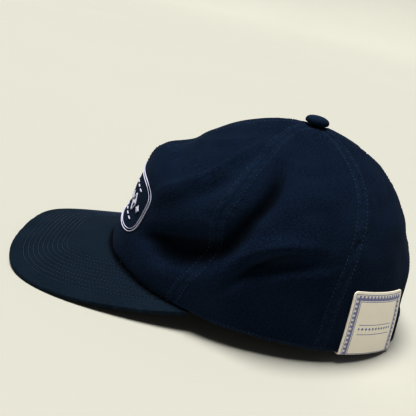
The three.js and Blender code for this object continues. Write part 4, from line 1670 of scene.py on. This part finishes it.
@dataclass
class EmbroideredBadge:
    """A generic badge sewn in satin stitch across the front: two fine frames and lozenges."""

    shell: CrownShell
    thread: Material
    level: float = 0.23
    half_width: float = 50.5
    half_height: float = 22.5
    squareness: float = 5.0
    flare: float = 0.10
    per_degree: float = 1.53
    per_level: float = 190.0
    standoff: float = 0.30
    thickness: float = 0.55
    sunk: float = 0.45
    thin: float = 0.3  # half width under which a stroke is lower
    least: float = 0.08
    bar_ends: float = 0.04  # least of 1 - t^8
    # frames: how far drawn in, and half width
    frames: tuple[tuple[float, float], ...] = ((0.5, 0.42), (2.5, 0.32))
    # solid lozenges: place across, and half width and height
    lozenges: tuple[tuple[float, float, float], ...] = ((15.5, 4.2, 4.6), (38.5, 3.0, 3.4))
    # open lozenges: place across, half width and height, bar half width, and the solid inside
    side_open: tuple[float, ...] = (27.0, 5.0, 7.0, 0.5, 2.0, 2.6)
    middle_open: tuple[float, ...] = (0.0, 7.0, 8.0, 0.6, 3.0, 3.8)
    bars: tuple[float, ...] = (8.0, 16.0, 24.0, 32.0)
    bar_up: float = 11.5
    bar_half: tuple[float, float] = (2.4, 0.65)

    def satin(self, path: Array, half: Array, closed: bool = False) -> Surface:
        """One satin-stitched stroke: a round-backed strip along a path of the flat pattern.

        The pattern is laid on the crown by an even scale. The stroke's height across is a
        half ellipse, and its edges go down into the cloth.

        Args:
            path: points across and up, in order.
            half: half width at each point.
            closed: whether it runs round into its own start.

        Returns:
            The closed surface of the stroke.
        """
        looped = np.roll(path, -1, axis=0) - np.roll(path, 1, axis=0)
        ahead = unit(looped if closed else np.gradient(path, axis=0))
        aside = np.stack([-ahead[:, 1], ahead[:, 0]], -1)
        turn = np.linspace(0, 2 * np.pi, 8, endpoint=False)
        reach = half[:, None] * np.cos(turn)
        rise = np.sin(turn) * np.where(np.sin(turn) >= 0, self.thickness, self.sunk)
        across, up = np.moveaxis(path[:, None] + aside[:, None] * reach[..., None], -1, 0)
        out = self.standoff + rise * np.minimum(1, half / self.thin)[:, None]
        level = self.level + up / self.per_level
        points = self.shell.point(across / self.per_degree, level, out)
        uv = np.stack(np.broadcast_arrays(run_along(path)[:, None], reach), -1)
        if not closed:
            return tube_surface(points[None], uv[None])
        index = np.arange(out.size).reshape(out.shape)
        after = np.roll(index, -1, axis=0)
        wall = faces_of(index, after, np.roll(after, -1, axis=1), np.roll(index, -1, axis=1))
        return Surface(points.reshape(-1, 3), [wall], uv.reshape(-1, 2))

    def frame(self, inset: float, half: float) -> Surface:
        """A closed frame: a superellipse, wider above, drawn in by a distance.

        Its points are x = a |cos|^(2/n) (1 + flare y / height), y = b |sin|^(2/n), with the
        signs of cos and sin, spread evenly again along the line.

        Args:
            inset: distance drawn in, millimetres.
            half: half width of the stroke.

        Returns:
            The stroke's surface.
        """
        angle = np.linspace(0, 2 * np.pi, 220, endpoint=False)
        turn = np.stack([np.cos(angle), np.sin(angle)])
        wide, tall = np.sign(turn) * np.abs(turn) ** (2 / self.squareness)
        up = tall * (self.half_height - inset)
        across = wide * (self.half_width - inset) * (1 + self.flare * up / self.half_height)
        path = np.stack([across, up], -1)
        loop = np.vstack([path, path[:1]])
        run = run_along(loop)
        path = follow(loop, run, np.linspace(0, run[-1], 241)[:-1])
        return self.satin(path, np.full(len(path), half), closed=True)

    def stroke(self, start: Place, stop: Place, half: Array) -> Surface:
        """A straight stroke between two places of the pattern, with even steps of half width."""
        share = np.linspace(0, 1, len(half))[:, None]
        return self.satin(mix(np.array(start), np.array(stop), share), half)

    def bar(self, start: Place, stop: Place, half: float) -> Surface:
        """A stroke with rounded ends: half times sqrt(1 - t^8), t from -1 to 1."""
        t = np.linspace(-1, 1, 15)
        return self.stroke(start, stop, half * np.sqrt(np.clip(1 - t**8, self.bar_ends, 1)))

    def lozenge(self, across: float, wide: float, tall: float) -> Surface:
        """A solid lozenge: a stroke whose half width is tall (1 - |t|), t from -1 to 1."""
        half = np.maximum(self.least, tall * (1 - np.abs(np.linspace(-1, 1, 17))))
        return self.stroke((across - wide, 0), (across + wide, 0), half)

    def open_lozenge(self, hand: int, sizes: tuple[float, ...]) -> list[Surface]:
        """Four bars round a solid lozenge.

        Args:
            hand: 1 on the left, -1 on the right.
            sizes: place across, half width and height, bar half width, and the solid inside.

        Returns:
            The strokes' surfaces.
        """
        place, wide, tall, half, *solid = sizes
        tips = [(hand * (place - wide), 0), (hand * place, tall)]
        tips += [(hand * (place + wide), 0), (hand * place, -tall)]
        bars = [self.bar(a, b, half) for a, b in zip(tips, tips[1:] + tips[:1])]
        return bars + [self.lozenge(hand * place, *solid)]

    def build(self) -> None:
        """Builds the badge: two frames, a row of lozenges, open lozenges and short bars."""
        strokes = [self.frame(inset, half) for inset, half in self.frames]
        reach, half = self.bar_half
        for side in (1, -1):
            strokes += [self.lozenge(side * place, *size) for place, *size in self.lozenges]
            strokes += self.open_lozenge(side, self.side_open)
            for up in (self.bar_up, -self.bar_up):
                for place in self.bars:
                    ends = ((side * (place + way * reach), up) for way in (-1, 1))
                    strokes.append(self.bar(*ends, half))
        strokes += self.open_lozenge(1, self.middle_open)
        piece = Surface.together(strokes).build("Embroidered_Badge", 70)
        dress(piece, self.thread, "thread", "badge_frame")


@dataclass
class WovenLabel:
    """The cream label at the left rear, folded over the rim to the inside."""

    shell: CrownShell
    start: float = 122.6
    stop: float = 152.4
    top: float = 0.27
    inside_top: float = 0.09
    scale_level: float = 0.13  # where its width and height are measured
    cloth: float = 0.7
    standoff: float = 0.3
    inside: float = 4.8
    corner: float = 3.0
    corner_rows: float = 5.5
    wave: float = 0.18
    wave_period: float = 26.0
    lip: float = 0.25
    lip_width: float = 2.0
    lifts: tuple[float, float] = (0.6, 0.3)  # of the lip, on the face and on the lining
    side_columns: tuple[float, ...] = (0, 0.3, 0.8, 1.5, 2.2, 3.0)
    top_rows: tuple[float, ...] = (0, 0.3, 0.8, 1.6, 2.6, 3.8, 5.5)
    # millimetres of cloth: to a radian of the turn, in all of it, and to a level inside
    under: tuple[float, float, float] = (1.2, 4.0, 165.0)
    spare: float = 6.0

    def build(self) -> None:
        """Builds the label as a strip carried down the outside, round the rim and up inside.

        Its way is a row of levels and standoffs, with half a circle of them under the rim.
        Its top corners are cut to quarter circles by lowering the first rows near its
        sides. Its sides lift off the cloth a little, as exp(-distance / width).
        """
        shell, middle = self.shell, (self.start + self.stop) / 2
        wide = (self.stop - self.start) * float(shell.per_degree(middle, self.scale_level))
        tall = self.top * float(shell.per_level(middle, self.scale_level))
        near = np.array(self.side_columns)
        between = np.linspace(near[-1], wide - near[-1], 40)[1:-1]
        aside = np.concatenate([near, between, wide - near[::-1]])
        from_side = np.minimum(aside, wide - aside)
        cut = np.maximum(0, self.corner - from_side)
        notch = self.corner - np.sqrt(np.maximum(0, self.corner**2 - cut**2))
        *first, next_row = self.top_rows
        down = np.concatenate([first, np.linspace(next_row, tall, 30)])[:, None]
        drop = notch * np.clip(1 - down / self.corner_rows, 0, 1)
        level = self.top - (down + drop) / tall * self.top
        azimuth = self.start + aside / wide * (self.stop - self.start)
        azimuths = np.broadcast_to(azimuth, level.shape)
        wave = self.wave * unevenness(azimuths * 1.7, down + 0 * azimuths, self.wave_period, 91)
        lip = self.lip * np.exp(-from_side / self.lip_width) + wave
        turn = np.linspace(0, 1, 9)[1:, None] * np.pi
        centre, half = (self.standoff - self.inside) / 2, (self.standoff + self.inside) / 2
        climb = np.linspace(0, self.inside_top, 10)[1:, None]
        sides = []
        for cloth, lift in zip((self.cloth, 0.0), self.lifts):
            stood = self.standoff + cloth
            outside = shell.point(azimuths, level, stood + lip * lift)
            under = shell.point(azimuth, 0 * turn, centre + (half + cloth) * np.cos(turn))
            under[..., 2] -= stood * np.sin(turn)
            within = shell.point(azimuth, climb, -self.inside - cloth)
            sides.append(np.vstack([outside, under, within]))
        radian, past, inside_level = self.under
        rows = np.vstack([down, tall + turn * radian, tall + past + climb * inside_level])
        v = rows + np.vstack([drop, np.zeros((len(turn) + len(climb), len(aside)))])
        u = np.broadcast_to(aside - wide / 2, v.shape)
        piece = sheet_surface(*sides, np.stack([u, v], -1), {}).build("Woven_Label", 60)
        cloth = DamaskLabelCloth("damask-woven polyester label", wide, tall + self.spare)
        dress(piece, cloth.material(), "label_weave", "woven_label")
        length = float(rows[-1, 0]) * MM
        Cut(wide * MM, length, wide * MM * length, "Back_Panel_Left").declare(piece, "folded")


# ---- Studio ----


@dataclass
class Studio:
    """A seamless pale floor that curves up all round, one soft lamp, the sky and the camera."""

    floor_radius: float = 6.0
    curve: float = 3.0
    eye: tuple[float, float, float] = (0.40059, -0.03045, 0.19958)
    yaw: float = -0.0320
    pitch: float = 0.3459
    roll: float = 0.2306
    lens: float = 51.15
    film: float = 36.0
    key_place: tuple[float, float, float] = (0.15, -0.45, 2.4)
    key_colour: str = "#fffdf6"
    key_strength: float = 5.6
    key_softness: float = 0.5
    sky_colour: str = "#f4f6fa"
    sky: float = 0.12
    contrast: float = 0.76

    def floor(self) -> None:
        """Builds the floor: a disc whose rim curves up along a quarter circle."""
        angle = np.linspace(0, 2 * np.pi, 97)[:-1]
        flat = np.linspace(0.02, self.floor_radius, 12)
        bend = np.linspace(0, np.pi / 2, 16)[1:]
        radius = np.concatenate([flat, self.floor_radius + self.curve * np.sin(bend)])[:, None]
        height = np.concatenate([0 * flat, self.curve * (1 - np.cos(bend))])[:, None]
        grid = np.broadcast_arrays(radius * np.cos(angle), radius * np.sin(angle), height)
        index = np.arange(grid[0].size).reshape(grid[0].shape)
        after = np.roll(index, -1, axis=1)
        faces = [faces_of(index[:-1], index[1:], after[1:], after[:-1]), index[:1]]
        piece = Surface(np.stack(grid, -1).reshape(-1, 3) / MM, faces).build("Floor", 80)
        if piece.data.polygons[0].normal.z < 0:
            piece.data.flip_normals()
        piece.data.materials.append(PaintedBoard().material())

    def key(self) -> None:
        """Adds the one soft lamp, high on the far side and toward the visor."""
        data = bpy.data.lights.new("Overhead", "SUN")
        data.energy, data.angle = self.key_strength, self.key_softness
        data.color = linear(self.key_colour)[:3]
        lamp = bpy.data.objects.new("Overhead", data)
        lamp.location = self.key_place
        lamp.rotation_euler = (-lamp.location).to_track_quat("-Z", "Y").to_euler()
        bpy.context.scene.collection.objects.link(lamp)

    def camera(self) -> None:
        """Adds the camera: its axes are turned by yaw and pitch, then rolled about its view."""
        yaw, pitch, roll = self.yaw, self.pitch, self.roll
        forward = Vector(
            (-math.cos(yaw) * math.cos(pitch), math.sin(yaw) * math.cos(pitch), -math.sin(pitch))
        )
        right = Vector((math.sin(yaw), math.cos(yaw), 0))
        up = right.cross(forward)
        side = math.cos(roll) * right + math.sin(roll) * up
        top = -math.sin(roll) * right + math.cos(roll) * up
        turn = Matrix((side, top, -forward)).transposed().to_4x4()
        data = bpy.data.cameras.new("Camera")
        data.sensor_width, data.lens = self.film, self.lens
        camera = bpy.data.objects.new("Camera", data)
        camera.matrix_world = Matrix.Translation(Vector(self.eye)) @ turn
        bpy.context.scene.collection.objects.link(camera)
        bpy.context.scene.camera = camera

    def build(self) -> None:
        """Builds the studio and the even light of its sky."""
        scene = bpy.context.scene
        scene.view_settings.view_transform = "Standard"
        scene.view_settings.gamma = self.contrast
        scene.world = bpy.data.worlds.new("Studio")
        scene.world.use_nodes = True
        background = scene.world.node_tree.nodes["Background"]
        background.inputs["Color"].default_value = linear(self.sky_colour)
        background.inputs["Strength"].default_value = self.sky
        self.floor()
        self.key()
        self.camera()
        LOG.info("studio ready")


def main() -> None:
    """Builds the studio and then the cap, piece by piece."""
    logging.basicConfig(level=logging.INFO, format="%(message)s")
    Studio().build()
    shell = CrownShell()
    twill = CottonTwill("navy brushed cotton twill").material()
    visor_twill = CottonTwill(
        "navy cotton twill quilted in rows",
        valley="#0d1721",
        rib="#20303f",
        worn="#2b3b4c",
        drift=0.25,
        relief=Relief.STITCHED_ROWS,
    ).material()
    band_twill = CottonTwill("navy cotton twill tape", sheen=0.03).material()
    visor_thread = SewingThread("blue-grey spun polyester thread", "#354d72", "#22344e")
    tonal = SewingThread("tonal spun polyester thread", "#3c4f6b", "#17243a", rubbing=0.22)
    pale = SewingThread("pale lilac rayon embroidery thread", "#cfcfe0", "#a9a9c4", 0.45, 0.6)
    thread = tonal.material()
    CrownPanels(shell, twill, thread).build()
    VisorBoard(shell, visor_twill, visor_thread.material()).build()
    TopButton(shell, twill).build()
    RimBands(shell, band_twill, twill, thread, NickelPlatedSteel().material()).build()
    EmbroideredBadge(shell, pale.material()).build()
    WovenLabel(shell).build()


if __name__ == "__main__":
    main()
